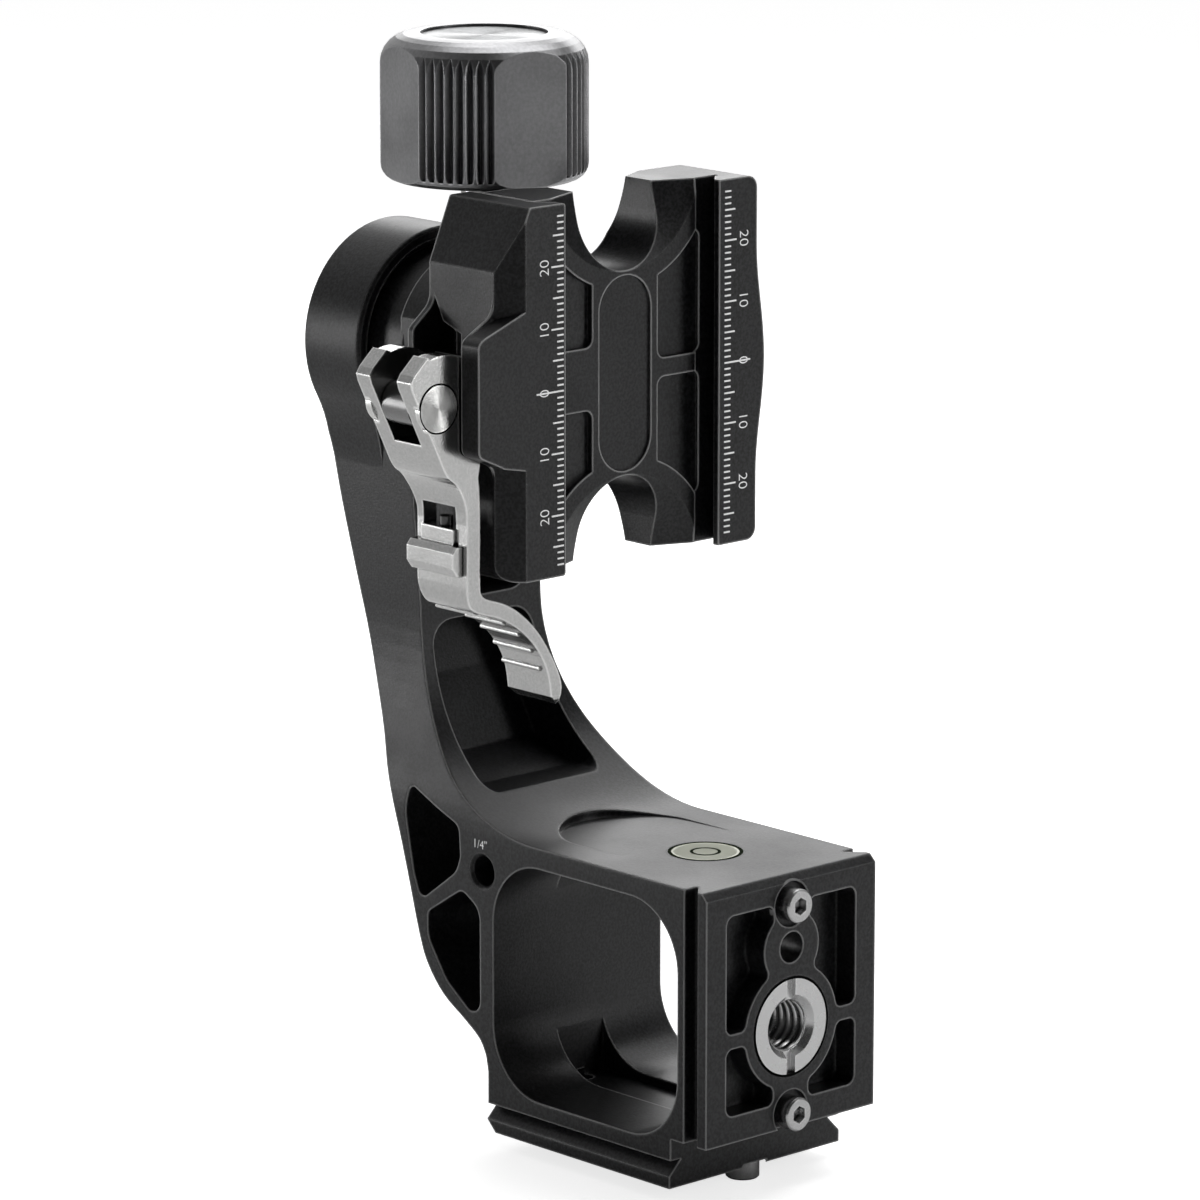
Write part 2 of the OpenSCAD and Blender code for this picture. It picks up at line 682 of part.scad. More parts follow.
// Fillets where the drum runs out into the upright's two sides
module drum_fillets() {
    y = neck_w / 2 + drum_fillet_r;
    z = axis_z - sqrt(pow(drum_r + drum_fillet_r, 2) - y * y);
    for (s = [-1, 1]) fillet([[0, axis_z], [0, z]], [s * y, z], drum_fillet_r);
}

module arm_cuts() {
    // Large window with a channel along its floor and its ceiling
    difference() {
        union() {
            along_y(-arm_w, arm_w)
                round_rect([window_x0, floor_t], [window_x1, base_h - deck_t], window_r);
            box([window_x0 + edge, -channel_w / 2, floor_t - channel_deep],
                [window_x1 - edge, channel_w / 2, base_h - deck_t + channel_deep / 2]);
        }
        rod_x(bush_x, face_x, bush_d / 2 + bush_wall, 0, bush_z);
    }
    // Windows behind the base
    along_y(-arm_w, arm_w) polygon(rounded(side_points(upper_window_shares),
        upper_window_r_shares * sweep_r));
    along_y(-arm_w, arm_w) polygon(rounded(side_points(lower_window_shares),
        lower_window_r_shares * sweep_r));
    front_pockets();
    // Scoop in the sweep, with a floor that falls gently backwards
    x = face_x - scoop_in;
    x0 = x - scoop_r - edge;
    x1 = level_x - level_d / 2 - edge;
    intersection() {
        along_y(-arm_w, arm_w)
            polygon([[x0, sweep_z], [x0, base_h - scoop_fall], [x1, base_h], [x1, sweep_z]]);
        union() {
            translate([x, 0, base_h - over]) cylinder(h = sweep_r, r = scoop_r, $fn = 96);
            box([x, -scoop_r, base_h - over], [x + 2 * scoop_r, scoop_r, sweep_z]);
        }
    }
    // Undercuts that make the end face a dovetail
    for (s = [-1, 1]) {
        y = s * arm_w / 2;
        x = face_x - dovetail_edge;
        far = x - dovetail_slope - edge;
        translate([0, 0, -over]) linear_extrude(base_h + 2 * over)
            polygon([[x, y + s * over], [x, y], [x - dovetail_slope, y - s * dovetail_slope],
                [far, y - s * dovetail_slope], [far, y + s * over]]);
    }
    // End face
    along_x(face_x - end_pocket_deep, face_x + over) end_pockets();
    rod_x(bush_x - over, face_x + over, bush_d / 2 + snug, 0, bush_z);
    rod_x(face_x - edge, face_x, bush_d / 2, 0, bush_z, bush_d / 2 + edge);
    rod_x(window_x1 - over, face_x + over, small_hole_d / 2, 0, small_hole_z);
    for (z = [base_h - stop_top_drop, nose_z + stop_low_rise]) {
        rod_x(face_x - stop_head_h + stop_proud - stop_l - edge, face_x, stop_d / 2 + snug, 0, z);
        rod_x(face_x - stop_head_h + stop_proud, face_x + over, stop_head_d / 2 + 2 * edge, 0, z);
    }
    // Small threaded hole in the side
    rod_y(-arm_w / 2 - over, -arm_w / 2 + side_hole_l, small_hole_d / 2, side_hole[0], side_hole[1]);
    translate([side_hole[0], -arm_w / 2, side_hole[1]]) rotate([-90, 0, 0])
        cylinder(h = edge, r1 = small_hole_d / 2 + edge, r2 = small_hole_d / 2);
    // Foot: stop screws in shallow relief notches
    for (s = [-1, 1]) {
        x = s * (foot_l / 2 - foot_stop_in);
        translate([x, 0, -over]) cylinder(h = over + stop_head_h - stop_proud - edge, r = notch_r);
        translate([x, 0, 0]) cylinder(h = stop_head_h + stop_l, r = stop_d / 2 + snug);
    }
    // Bubble level
    translate([level_x, 0, base_h - level_h]) cylinder(h = level_h + over, r = level_d / 2 + snug);
    // Drum: front recess, seat of the spindle, bolt hole and cover
    rod_x(recess_x, drum_x1 + over, drum_r - drum_rim);
    rod_x(recess_x - spigot_l, drum_x1, flange_d / 2 + snug);
    rod_x(drum_x0, recess_x, bolt_d / 2 + edge / 2);
    rod_x(bolt_x - over, bolt_x + bolt_head_h, bolt_head_r + edge);
    rod_x(drum_x0 - over, bolt_x, cap_r + running);
    for (a = [90, 210, 330]) {
        p = cap_screw(a);
        rod_x(bolt_x - over, bolt_x + 2 * stop_d - edge, stop_d / 2 + snug, p[0], axis_z + p[1]);
    }
    // Saddle in which the hub turns
    rod_x(drum_x1, sweep_x, drum_r, $fn = 160);
}
function cap_screw(a) = turn([cap_r - stop_d, 0], a);

module arm() {
    color([0.09, 0.09, 0.1]) difference() {
        union() {
            intersection() {
                along_y(-arm_w, arm_w) arm_side();
                along_x(drum_x0 - over, face_x + over) arm_front();
            }
            foot();
            rod_x(drum_x0 + drum_chamfer, drum_x1 - edge, drum_r, $fn = 160);
            rod_x(drum_x0, drum_x0 + drum_chamfer, drum_r - drum_chamfer, 0, axis_z, drum_r, $fn = 160);
            rod_x(drum_x1 - edge, drum_x1, drum_r, 0, axis_z, drum_r - edge, $fn = 160);
            intersection() {
                along_y(-arm_w, arm_w) arm_side();
                along_x(drum_x0 + drum_chamfer, drum_x1 - edge) drum_fillets();
            }
        }
        arm_cuts();
    }
}

module threaded_bush() {
    mouth = (bush_mouth_d - bush_core_d) / 2;
    color([0.7, 0.7, 0.72]) difference() {
        rod_x(bush_x, face_x, bush_d / 2, 0, bush_z);
        rod_x(bush_x - over, face_x + over, bush_core_d / 2, 0, bush_z);
        rod_x(face_x - mouth, face_x, bush_core_d / 2, 0, bush_z, bush_mouth_d / 2);
        box([face_x - edge * 2, -bush_slot_w / 2, bush_z - bush_d],
            [face_x + over, bush_slot_w / 2, bush_z + bush_d]);
    }
}

module end_stop_screws() {
    color([0.75, 0.75, 0.76]) for (z = [base_h - stop_top_drop, nose_z + stop_low_rise])
        translate([face_x - stop_head_h + stop_proud, 0, z]) rotate([0, 90, 0])
            socket_screw(stop_d, stop_head_d, stop_head_h, stop_l, stop_socket);
}

module foot_stop_screws() {
    color([0.75, 0.75, 0.76]) for (s = [-1, 1])
        translate([s * (foot_l / 2 - foot_stop_in), 0, stop_head_h - stop_proud - edge]) rotate([180, 0, 0])
            socket_screw(stop_d, stop_head_d, stop_head_h, stop_l, stop_socket);
}

module level_cup() {
    color([0.75, 0.76, 0.7]) translate([level_x, 0, base_h - level_h]) difference() {
        cylinder(h = level_h, r = level_d / 2);
        translate([0, 0, level_floor]) cylinder(h = level_h, r = level_d / 2 - level_wall);
    }
}

module level_fluid() {
    color([0.8, 0.85, 0.6]) translate([level_x, 0, base_h - level_h + level_floor]) difference() {
        cylinder(h = level_h - level_floor - lens_t, r = level_d / 2 - level_wall);
        translate([0, 0, bubble_rise]) cylinder(h = level_h, r = bubble_d / 2);
    }
}

module level_bubble() {
    color([0.9, 0.95, 0.85]) translate([level_x, 0, base_h - level_h + level_floor + bubble_rise])
        cylinder(h = bubble_rise, r = bubble_d / 2);
}

module level_lens() {
    color([0.85, 0.9, 0.8, 0.5]) translate([level_x, 0, base_h - lens_t])
        cylinder(h = lens_t, r = level_d / 2 - level_wall);
}

module spindle() {
    color([0.6, 0.6, 0.62]) difference() {
        union() {
            rod_x(recess_x - spigot_l, bearing_x0, flange_d / 2);
            rod_x(bearing_x0, spindle_x1, spindle_d / 2 - snug);
        }
        rod_x(recess_x - spigot_l - over, brake_x0, bolt_d / 2 + snug);
    }
}

module spindle_screw() {
    shank_l = brake_x0 - bolt_x - bolt_head_h - edge;
    color([0.3, 0.3, 0.32]) translate([bolt_x + bolt_head_h, 0, axis_z]) rotate([0, -90, 0])
        socket_screw(bolt_d, 2 * bolt_head_r, bolt_head_h, shank_l, 0.6 * bolt_d);
}

module spindle_nut() {
    color([0.5, 0.5, 0.52]) difference() {
        rod_x(bearing_x1, bearing_x1 + spindle_nut_t, spindle_d / 2 + ring_t);
        rod_x(bearing_x1 - over, spindle_x1, spindle_d / 2);
    }
}

module brake_sleeve() {
    color([0.65, 0.65, 0.67]) difference() {
        rod_x(brake_x0, brake_x1, brake_d / 2);
        rod_x(brake_x0 - over, brake_x1 + over, spindle_d / 2);
    }
}

module drum_cap() {
    color([0.1, 0.1, 0.11]) difference() {
        rod_x(drum_x0, bolt_x, cap_r);
        for (a = [90, 210, 330]) {
            p = cap_screw(a);
            rod_x(drum_x0 - over, bolt_x + over, stop_d / 2 + snug, p[0], axis_z + p[1]);
            rod_x(drum_x0 - over, drum_x0 + cap_t / 2, stop_head_d / 2, p[0], axis_z + p[1]);
        }
    }
}

module drum_cap_screws() {
    color([0.2, 0.2, 0.21]) for (a = [90, 210, 330]) {
        p = cap_screw(a);
        translate([drum_x0 + cap_t / 2, p[0], axis_z + p[1]]) rotate([0, -90, 0])
            socket_screw(stop_d, stop_head_d - edge, cap_t / 2, 2 * stop_d, 0.6 * stop_d);
    }
}

// One ring of a bearing, with the groove that the balls run in
module ring(x, r0, r1) {
    difference() {
        rod_x(x, x + bearing_w, r1);
        rod_x(x - over, x + bearing_w + over, r0);
        translate([x + bearing_w / 2, 0, axis_z]) rotate([0, 90, 0]) rotate_extrude()
            translate([race_r, 0]) circle(ball_d / 2 + ball_play);
    }
}

module bearing_inner_rings() {
    color([0.7, 0.7, 0.72]) for (x = [bearing_x0, brake_x1]) ring(x, spindle_d / 2, spindle_d / 2 + ring_t);
}

module bearing_outer_rings() {
    color([0.68, 0.68, 0.7]) for (x = [bearing_x0, brake_x1]) ring(x, hub_bore_r - ring_t, hub_bore_r - snug);
}

module bearing_balls() {
    color([0.85, 0.85, 0.87]) for (x = [bearing_x0, brake_x1], i = [0 : ball_n - 1])
        translate([x + bearing_w / 2, 0, axis_z]) rotate([360 * i / ball_n, 0, 0]) translate([0, 0, race_r])
            sphere(ball_d / 2, $fn = 24);
}

// Crown that spaces the balls, narrower than the gap between the rings
module bearing_cages() {
    half_t = (bearing_d / 2 - spindle_d / 2 - 2 * ring_t) / 2 - 2 * running;
    half_w = ball_d / 2 + edge / 2;
    color([0.75, 0.6, 0.3]) for (x = [bearing_x0, brake_x1]) difference() {
        rod_x(x + bearing_w / 2 - half_w, x + bearing_w / 2 + half_w, race_r + half_t);
        rod_x(x, x + bearing_w, race_r - half_t);
        for (i = [0 : ball_n - 1])
            translate([x + bearing_w / 2, 0, axis_z]) rotate([360 * i / ball_n, 0, 0])
                cylinder(h = hub_bore_r, r = ball_d / 2 + ball_play);
    }
}

module bearing_spacer() {
    color([0.6, 0.62, 0.65]) difference() {
        rod_x(brake_x0, brake_x1, hub_bore_r - snug);
        rod_x(brake_x0 - over, brake_x1 + over, hub_bore_r - ring_t - edge);
        translate([knob_x, 0, axis_z]) cylinder(h = bearing_d, r = knob_screw_d / 2 + edge);
    }
}

module hub_retainer() {
    color([0.2, 0.2, 0.22]) difference() {
        rod_x(hub_x0, bearing_x0, retainer_r);
        rod_x(hub_x0 - over, bearing_x0 + over, hub_bore_r - ring_t + edge / 2);
    }
}

// Outline of the bed: square ends, and a smooth bulge along the fixed jaw
module bed_outline() {
    r = jaw_corner_r;
    low = arc([fixed_side - r, clamp_z0 + r], r, -90, 0, 6);
    high = arc([fixed_side - r, clamp_z1 - r], r, 0, 90, 6);
    polygon(concat([[-bed_end, clamp_z0]], low,
        [for (a = [-180 : 18 : 180])
            [fixed_side + fixed_bulge * (1 + cos(a)) / 2, axis_z + bulge_z * a / 180]],
        high, [[-bed_end, clamp_z1]]));
}

// Scallops above and below: a slot through the bed that opens out towards both faces
module scallops() {
    for (s = [-1, 1]) {
        z = axis_z + s * scallop_rise;
        slot_z = axis_z + s * slot_rise;
        end_z = axis_z + s * clamp_l;
        rod_x(back_x - over, jaw_x + over, slot_r, 0, slot_z);
        box([back_x - over, -slot_r, min(slot_z, end_z)], [jaw_x + over, slot_r, max(slot_z, end_z)]);
        rod_x(bed_x, jaw_x + over, scallop_r, 0, z, $fn = 96);
        rod_x(bed_x - flare_deep, bed_x, scallop_r - flare_loss, 0, z, scallop_r, $fn = 96);
        rod_x(back_x, back_x + flare_deep, back_flare_r, 0, z, scallop_r - flare_loss, $fn = 96);
    }
}

// Four pockets sunk in the bed beside the jaws, kept clear of the scallops and the oval
module bed_pockets() {
    in_y = oval_w / 2 + edge * 3;
    out_y = tip_y - 2 * running;
    rib_z = 0.05 * clamp_l;
    for (s = [-1, 1], t = [-1, 1]) {
        z = axis_z + s * scallop_rise;
        lift = t > 0 ? s * running : s * rib_z * 1.2;
        difference() {
            translate([0, axis_z + lift]) mirror([0, s > 0 ? 0 : 1]) mirror([t > 0 ? 0 : 1, 0])
                round_rect([in_y, rib_z / 2], [out_y, 0.36 * clamp_l], edge * 3);
            translate([0, z]) circle(scallop_r + bed_wall, $fn = 96);
        }
    }
}

module oval() {
    rise = (oval_l - oval_w) / 2;
    translate([-oval_w / 2, axis_z - rise]) square([oval_w, 2 * rise]);
    for (s = [-1, 1]) translate([0, axis_z + s * rise]) circle(oval_w / 2);
}

module clamp_body() {
    color([0.08, 0.08, 0.09]) difference() {
        union() {
            difference() {
                along_x(back_x, jaw_x) bed_outline();
                // Room over the bed between the jaws, with the fixed jaw's undercut side
                along_z_prism([[bed_x, -2 * bed_end], [jaw_x + over, -2 * bed_end], [jaw_x + over, tip_y],
                    [jaw_x - tip_t, tip_y], [bed_x, tip_y + undercut]]);
                // Relief groove under the fixed jaw
                box([bed_x - edge, tip_y - tip_t, clamp_z0 - over],
                    [bed_x + edge, tip_y + undercut + edge, clamp_z1 + over]);
                scallops();
                along_x(bed_x - bed_pocket_deep, bed_x + over) bed_pockets();
                along_x(bed_x - oval_deep, bed_x + over) oval();
            }
            intersection() {
                rod_x(hub_x1 - edge, back_x + edge, neck_r, $fn = 96);
                box([hub_x1 - edge, -neck_flat, axis_z - neck_r],
                    [back_x + edge, neck_flat, axis_z + neck_r]);
            }
            rod_x(hub_x0, hub_x1, hub_r, $fn = 96);
            translate([knob_x, 0, axis_z]) cylinder(h = boss_z - axis_z, r = boss_r);
            box([knob_x, -boss_r, axis_z], [back_x + edge, boss_r, axis_z + waist_h / 2]);
        }
        clamp_bores();
    }
}

// Prism along Z of an outline drawn in X and Y, longer than the clamp
module along_z_prism(pts) {
    translate([0, 0, clamp_z0 - over]) linear_extrude(clamp_l + 2 * over) polygon(pts);
}

module clamp_bores() {
    rod_x(hub_x0 - over, bearing_x1, hub_bore_r);
    rod_x(hub_x0 - over, bearing_x0, retainer_r + snug);
    rod_x(bearing_x1 - over, spindle_x1 + edge * 2, nose_bore_r);
    translate([knob_x, 0, axis_z]) cylinder(h = boss_z - axis_z + over, r = knob_screw_d / 2 + running);
    for (s = [-1, 1]) {
        z = pin_z + s * guide_gap / 2;
        rod_y(-bed_end - over, guide_in, guide_d / 2 + snug, ears_x, z);
        rod_y(-bed_end - over, -bed_end + spring_l, spring_r + running, ears_x, z);
    }
    rod_y(-bed_end - over, fixed_side, rod_d / 2 + running, ears_x, pin_z);
    rod_y(nut_y, fixed_side + fixed_bulge + over, rod_d + snug, ears_x, pin_z);
}

module brake_pad() {
    color([0.85, 0.83, 0.75]) difference() {
        translate([knob_x, 0, axis_z]) cylinder(h = brake_d / 2 + pad_h, r = knob_screw_d / 2);
        rod_x(brake_x0, brake_x1, brake_d / 2 + running);
    }
}

module guide_pins() {
    color([0.7, 0.7, 0.72]) for (s = [-1, 1])
        rod_y(-moving_y - guide_hold, guide_in, guide_d / 2, ears_x, pin_z + s * guide_gap / 2);
}

module draw_rod() {
    color([0.7, 0.7, 0.72]) difference() {
        union() {
            rod_y(pin_y, nut_y + nut_t, rod_d / 2, ears_x, pin_z);
            rod_x(ears_x - eye_w / 2, ears_x + eye_w / 2, eye_r, pin_y, pin_z);
        }
        rod_x(ears_x0, ears_x1, pin_d / 2 + snug, pin_y, pin_z);
    }
}

module rod_nut() {
    color([0.6, 0.6, 0.62]) difference() {
        rod_y(nut_y, nut_y + nut_t, rod_d - edge, ears_x, pin_z);
        rod_y(nut_y - over, nut_y + nut_t + over, rod_d / 2 + snug, ears_x, pin_z);
        for (s = [-1, 1])
            box([ears_x - edge, nut_y + nut_t / 2, pin_z + s * rod_d * 0.75 - edge],
                [ears_x + edge, nut_y + nut_t + over, pin_z + s * rod_d * 0.75 + edge]);
    }
}

module lever_pin() {
    shank0 = ears_x0 + pin_head_t;
    shank1 = ears_x1 - pin_head_t;
    color([0.75, 0.75, 0.77]) union() {
        rod_x(shank0, shank1, pin_d / 2, pin_y, pin_z);
        rod_x(ears_x0 - edge / 5, shank0, pin_head_d / 2, pin_y, pin_z);
        rod_x(shank1, ears_x1 + edge / 5, pin_head_d / 2, pin_y, pin_z);
    }
}

// Graduations outward from y along one side of the bed, as shallow raised lines
module graduations(y, out) {
    for (i = [-tick_n : tick_n]) {
        l = tick_l * (i == 0 ? 4.4 : i % 10 == 0 ? 1.95 : i % 5 == 0 ? 1.7 : 1);
        y0 = out > 0 ? y : y - l;
        z = axis_z + i * tick_gap;
        box([jaw_x, y0, z - tick_t / 2], [jaw_x + tick_t / 2, y0 + l, z + tick_t / 2]);
    }
}

module bed_scale() {
    color([0.95, 0.95, 0.95]) graduations(tip_y + tick_in, 1);
}

module jaw_scale() {
    color([0.95, 0.95, 0.95]) graduations(-tip_y - edge, -1);
}

// Outline of the moving jaw with its plate reaching out to the given side
module jaw_outline(side) {
    h = clamp_l / 2;
    top = clamp_z1 - running * 2;
    polygon(rounded([[-tip_y, top], [-moving_side + jaw_cut, top],
        [-moving_side, axis_z + side_rise_share * h],
        [-moving_side, axis_z + wing_rise_share * h], [-side, axis_z + wing_high_share * h],
        [-side, axis_z - wing_low_share * h + edge * 6], [-moving_side, axis_z - wing_low_share * h],
        [-moving_side, clamp_z0], [-tip_y, clamp_z0]],
        [edge, edge, edge * 3, edge * 7, edge * 3, edge * 3, edge * 5, edge * 5, edge]));
}

module moving_jaw() {
    color([0.08, 0.08, 0.09]) difference() {
        union() {
            along_x(moving_back_x, jaw_x) jaw_outline(back_wing_side);
            along_x(jaw_x - wing_t, jaw_x) jaw_outline(wing_side);
        }
        // Room for the bed, with the jaw's undercut side
        along_z_prism([[moving_back_x - over, -moving_y], [bed_x, -moving_y],
            [jaw_x - tip_t, -tip_y], [jaw_x - tip_t, over], [moving_back_x - over, over]]);
        // Long chamfers beside the front plate
        for (s = [-1, 1]) chamfer_cut(s);
        // Room for the lever's ears between the two plates
        ear_room();
        for (s = [-1, 1]) {
            z = pin_z + s * guide_gap / 2;
            rod_y(-moving_y - guide_hold - jaw_travel - edge, 0, guide_d / 2 + running, ears_x, z);
        }
        rod_y(-wing_side, 0, rod_d / 2 + running, ears_x, pin_z);
    }
}

// Chamfer along the jaw's front outer edge, running out along the front plate's own curve
module chamfer_cut(s) {
    h = clamp_l / 2;
    z_in = axis_z + s * h * (s > 0 ? wing_rise_share + 0.01 : wing_low_share + 0.015);
    z_out = axis_z + s * h * (s > 0 ? wing_high_share - 0.015 : wing_low_share - 0.065);
    far = axis_z + s * (h + over);
    y_in = -moving_side + jaw_chamfer;
    y_out = -wing_side - over;
    deep = 0.88 * wing_t;
    intersection() {
        translate([0, 0, min(z_out, far)]) linear_extrude(abs(far - z_out))
            polygon([[jaw_x + over, y_in + jaw_chamfer * over / deep], [jaw_x - deep, -moving_side],
                [jaw_x - deep, y_out], [jaw_x + over, y_out]]);
        along_x(jaw_x - wing_t, jaw_x + over)
            polygon(rounded([[y_in + edge * 4, far], [y_in + edge * 4, z_in + s * edge], [y_in, z_in],
                [y_out, z_out], [y_out, far]], [0.01, 0.01, edge * 4, 0.01, 0.01]));
    }
}

// Space between the two plates that the lever's ears turn in
module ear_room() {
    h = clamp_l / 2;
    x0 = moving_back_x + back_plate_t;
    x1 = jaw_x - wing_t;
    z0 = axis_z - wing_low_share * h - edge * 3;
    z1 = axis_z + wing_high_share * h;
    pad_z1 = pin_z + pad_h_share * clamp_l / 2 + running;
    box([x0, -wing_side - over, z0], [x1, pad_y + pad_t, z1]);
    box([x0, -wing_side - over, clamp_z0 - over], [x1, -moving_side, clamp_z1 + over]);
    // Recess above the rear ear, deeper beside the guide pin
    for (t = [[ears_x - edge, edge * 2], [ears_x - guide_d / 2 - edge, jaw_cut]])
        along_y(-wing_side, pad_y + pad_t + t[1])
            polygon([[x0, pad_z1], [t[0], pad_z1], [t[0], z1 - edge], [x0 + jaw_back * 0.8, z1 + edge * 2],
                [x0, z1 + jaw_back * 1.9]]);
}

module cam_pads() {
    h = pad_h_share * clamp_l;
    color([0.8, 0.8, 0.82]) for (x = [ears_x0, ears_x1 - ear_t])
        box([x, pad_y, pin_z - h / 2], [x + ear_t, pad_y + pad_t, pin_z + h / 2]);
}

module jaw_springs() {
    color([0.6, 0.6, 0.62]) for (z = [pin_z - guide_gap / 2, pin_z + guide_gap / 2]) difference() {
        rod_y(-moving_y, -bed_end + spring_l - edge, spring_r - running, ears_x, z);
        rod_y(-moving_y - over, 0, guide_d / 2 + running * 2, ears_x, z);
    }
}

// Side outline of the lever about its pin
function lever_outline() = concat(
    [for (a = [-10 : 10 : 100]) turn([cam_r - cam_fall * max(a, -10) * PI / 180, 0], a)],
    ear_shares * lever_l,
    curve(strap_out_shares * lever_l, 3),
    curve(strap_in_shares * lever_l, 3));

// Outline of the lever seen from outside: drawn in behind, with a round end
module lever_face() {
    x0 = ears_x0;
    strap_x = x0 + strap_in_share * lever_w;
    tab_x = x0 + tab_in_share * lever_w;
    top = pin_z + 2 * cam_r;
    z = [for (s = draw_in_shares) pin_z - s * lever_l];
    r = [for (s = [0.05, 0.2, 0.2, 0.3, 0.25, 0.15, 0.15, 0.05]) s * lever_w];
    polygon(rounded([[x0, top], [x0, z[0]], [strap_x, z[1]], [strap_x, z[2]], [tab_x, z[3]],
        [tab_x, z[4]], [ears_x1, z[4]], [ears_x1, top]], r));
}

module lever() {
    color([0.8, 0.8, 0.82]) difference() {
        intersection() {
            union() {
                translate([0, pin_y, pin_z]) along_x(ears_x0, ears_x1) polygon(lever_outline());
                tab = curve(strap_out_shares * lever_l, 3);
                for (i = [0 : ridge_n - 1]) {
                    p = tab[len(tab) - 4 - 3 * i];
                    translate([0, pin_y, pin_z])
                        rod_x(ears_x0 + edge * 3, ears_x1 - edge * 3, ridge_r, p[0], p[1], $fn = 16);
                }
            }
            along_y(pin_y - lever_l, pin_y + lever_l) lever_face();
        }
        // Slot between the ears
        box([ears_x - ear_gap / 2, pin_y - cam_r, pin_z - ear_slot],
            [ears_x + ear_gap / 2, pin_y + 2 * cam_r, pin_z + 2 * cam_r]);
        rod_x(ears_x0 - over, ears_x1 + over, pin_d / 2 + running, pin_y, pin_z);
        rod_x(ears_x0 - over, ears_x0 + pin_head_t + running, pin_head_d / 2 + running, pin_y, pin_z);
        rod_x(ears_x1 - pin_head_t - running, ears_x1 + over, pin_head_d / 2 + running, pin_y, pin_z);
        // Window in the strap for the catch
        box([ears_x - catch_w / 2, pin_y - cam_r, window_lo], [ears_x + catch_w / 2, 0, window_hi]);
    }
}

// Sliding catch: a ribbed plate on the strap, with a tongue through the strap's window
module latch() {
    x0 = ears_x - lever_w / 2 + edge * 2;
    x1 = ears_x + lever_w / 2 - edge * 2;
    y = strap_y0 - running;
    color([0.85, 0.85, 0.87]) union() {
        along_x(x0, x1) polygon([[y, catch_z0], [y - catch_t * 0.5, catch_z0],
            [y - catch_t, catch_z0 + catch_h * 0.3], [y - catch_t, catch_z0 + catch_h * 0.8],
            [y - catch_t * 0.6, catch_z0 + catch_h], [y, catch_z0 + catch_h]]);
        box([ears_x - catch_w / 2 + running, y - edge, window_lo + running],
            [ears_x + catch_w / 2 - running, strap_y1 + running, tongue_z1]);
    }
}

module latch_keeper() {
    x = lever_w / 2 - edge * 2;
    color([0.7, 0.7, 0.72]) box([ears_x - x, strap_y1 + running, tongue_z1 - catch_h / 2 - edge],
        [ears_x + x, strap_y1 + edge * 1.4, tongue_z1 - edge]);
}

module latch_spring() {
    r = 0.14 * catch_w;
    color([0.6, 0.6, 0.62]) translate([ears_x, (strap_y0 + strap_y1) / 2, tongue_z1]) difference() {
        cylinder(h = catch_travel, r = r);
        translate([0, 0, -over]) cylinder(h = catch_travel + 2 * over, r = r - edge / 2);
    }
}

// Profile of the knob from its middle to its side
function knob_profile() =
    let (r = knob_d / 2, rim = disc_d / 2 + edge * 3)
    concat([[0, 0]], arc([r - knob_low_r, knob_low_r], knob_low_r, -90, 0, 6),
        [[r, knob_h - dome_h]],
        [for (i = [1 : 6]) [rim + (r - rim) * cos(90 * i / 6), knob_h - dome_h + dome_h * sin(90 * i / 6)]],
        [[0, knob_h]]);

module knob() {
    r = knob_d / 2;
    pitch = 360 / groove_pitch_n;
    color([0.4, 0.4, 0.42]) translate([knob_x, 0, knob_z0]) difference() {
        rotate_extrude($fn = 128) polygon(knob_profile());
        for (q = [0 : 3]) rotate([0, 0, knob_turn + 90 * q]) {
            translate([knob_flat, -r, -over]) cube([r, 2 * r, knob_h + 2 * over]);
            for (i = [0 : groove_n - 1]) rotate([0, 0, 45 + pitch * (i - (groove_n - 1) / 2)])
                translate([r, 0, groove_z]) rotate([0, 0, 45]) groove();
        }
        translate([0, 0, knob_h - disc_t - disc_sink])
            cylinder(h = disc_t + disc_sink + over, r = disc_d / 2 + snug);
        translate([0, 0, -over]) cylinder(h = screw_in + over, r = knob_screw_d / 2 + snug);
    }
}

// One upright V groove of the knob's grips
module groove() {
    w = groove_deep * sqrt(2);
    translate([-w / 2, -w / 2, 0]) cube([w, w, knob_h]);
}

module knob_cap() {
    color([0.75, 0.76, 0.78]) translate([knob_x, 0, knob_z1 - disc_t - disc_sink])
        cylinder(h = disc_t, r = disc_d / 2);
}

module knob_screw() {
    color([0.7, 0.7, 0.72]) translate([knob_x, 0, axis_z + brake_d / 2 + pad_h + running])
        cylinder(h = knob_rise + screw_in - brake_d / 2 - pad_h - running, r = knob_screw_d / 2);
}

module knob_collar() {
    color([0.8, 0.8, 0.82]) translate([knob_x, 0, boss_z]) difference() {
        cylinder(h = collar_h, r = collar_d / 2);
        translate([0, 0, -over]) cylinder(h = collar_h + 2 * over, r = knob_screw_d / 2 + snug);
    }
}

arm();
threaded_bush();
end_stop_screws();
foot_stop_screws();
level_cup();
level_fluid();
level_bubble();
level_lens();
spindle();
spindle_screw();
spindle_nut();
brake_sleeve();
drum_cap();
drum_cap_screws();
bearing_inner_rings();
clamp_body();
bearing_outer_rings();
bearing_spacer();
hub_retainer();
brake_pad();
guide_pins();
draw_rod();
rod_nut();
lever_pin();
bed_scale();
bearing_balls();
bearing_cages();
moving_jaw();
cam_pads();
jaw_springs();
jaw_scale();
lever();
latch();
latch_keeper();
latch_spring();
knob();
knob_cap();
knob_screw();
knob_collar();
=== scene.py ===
import math

import bpy
from mathutils import Matrix, Vector


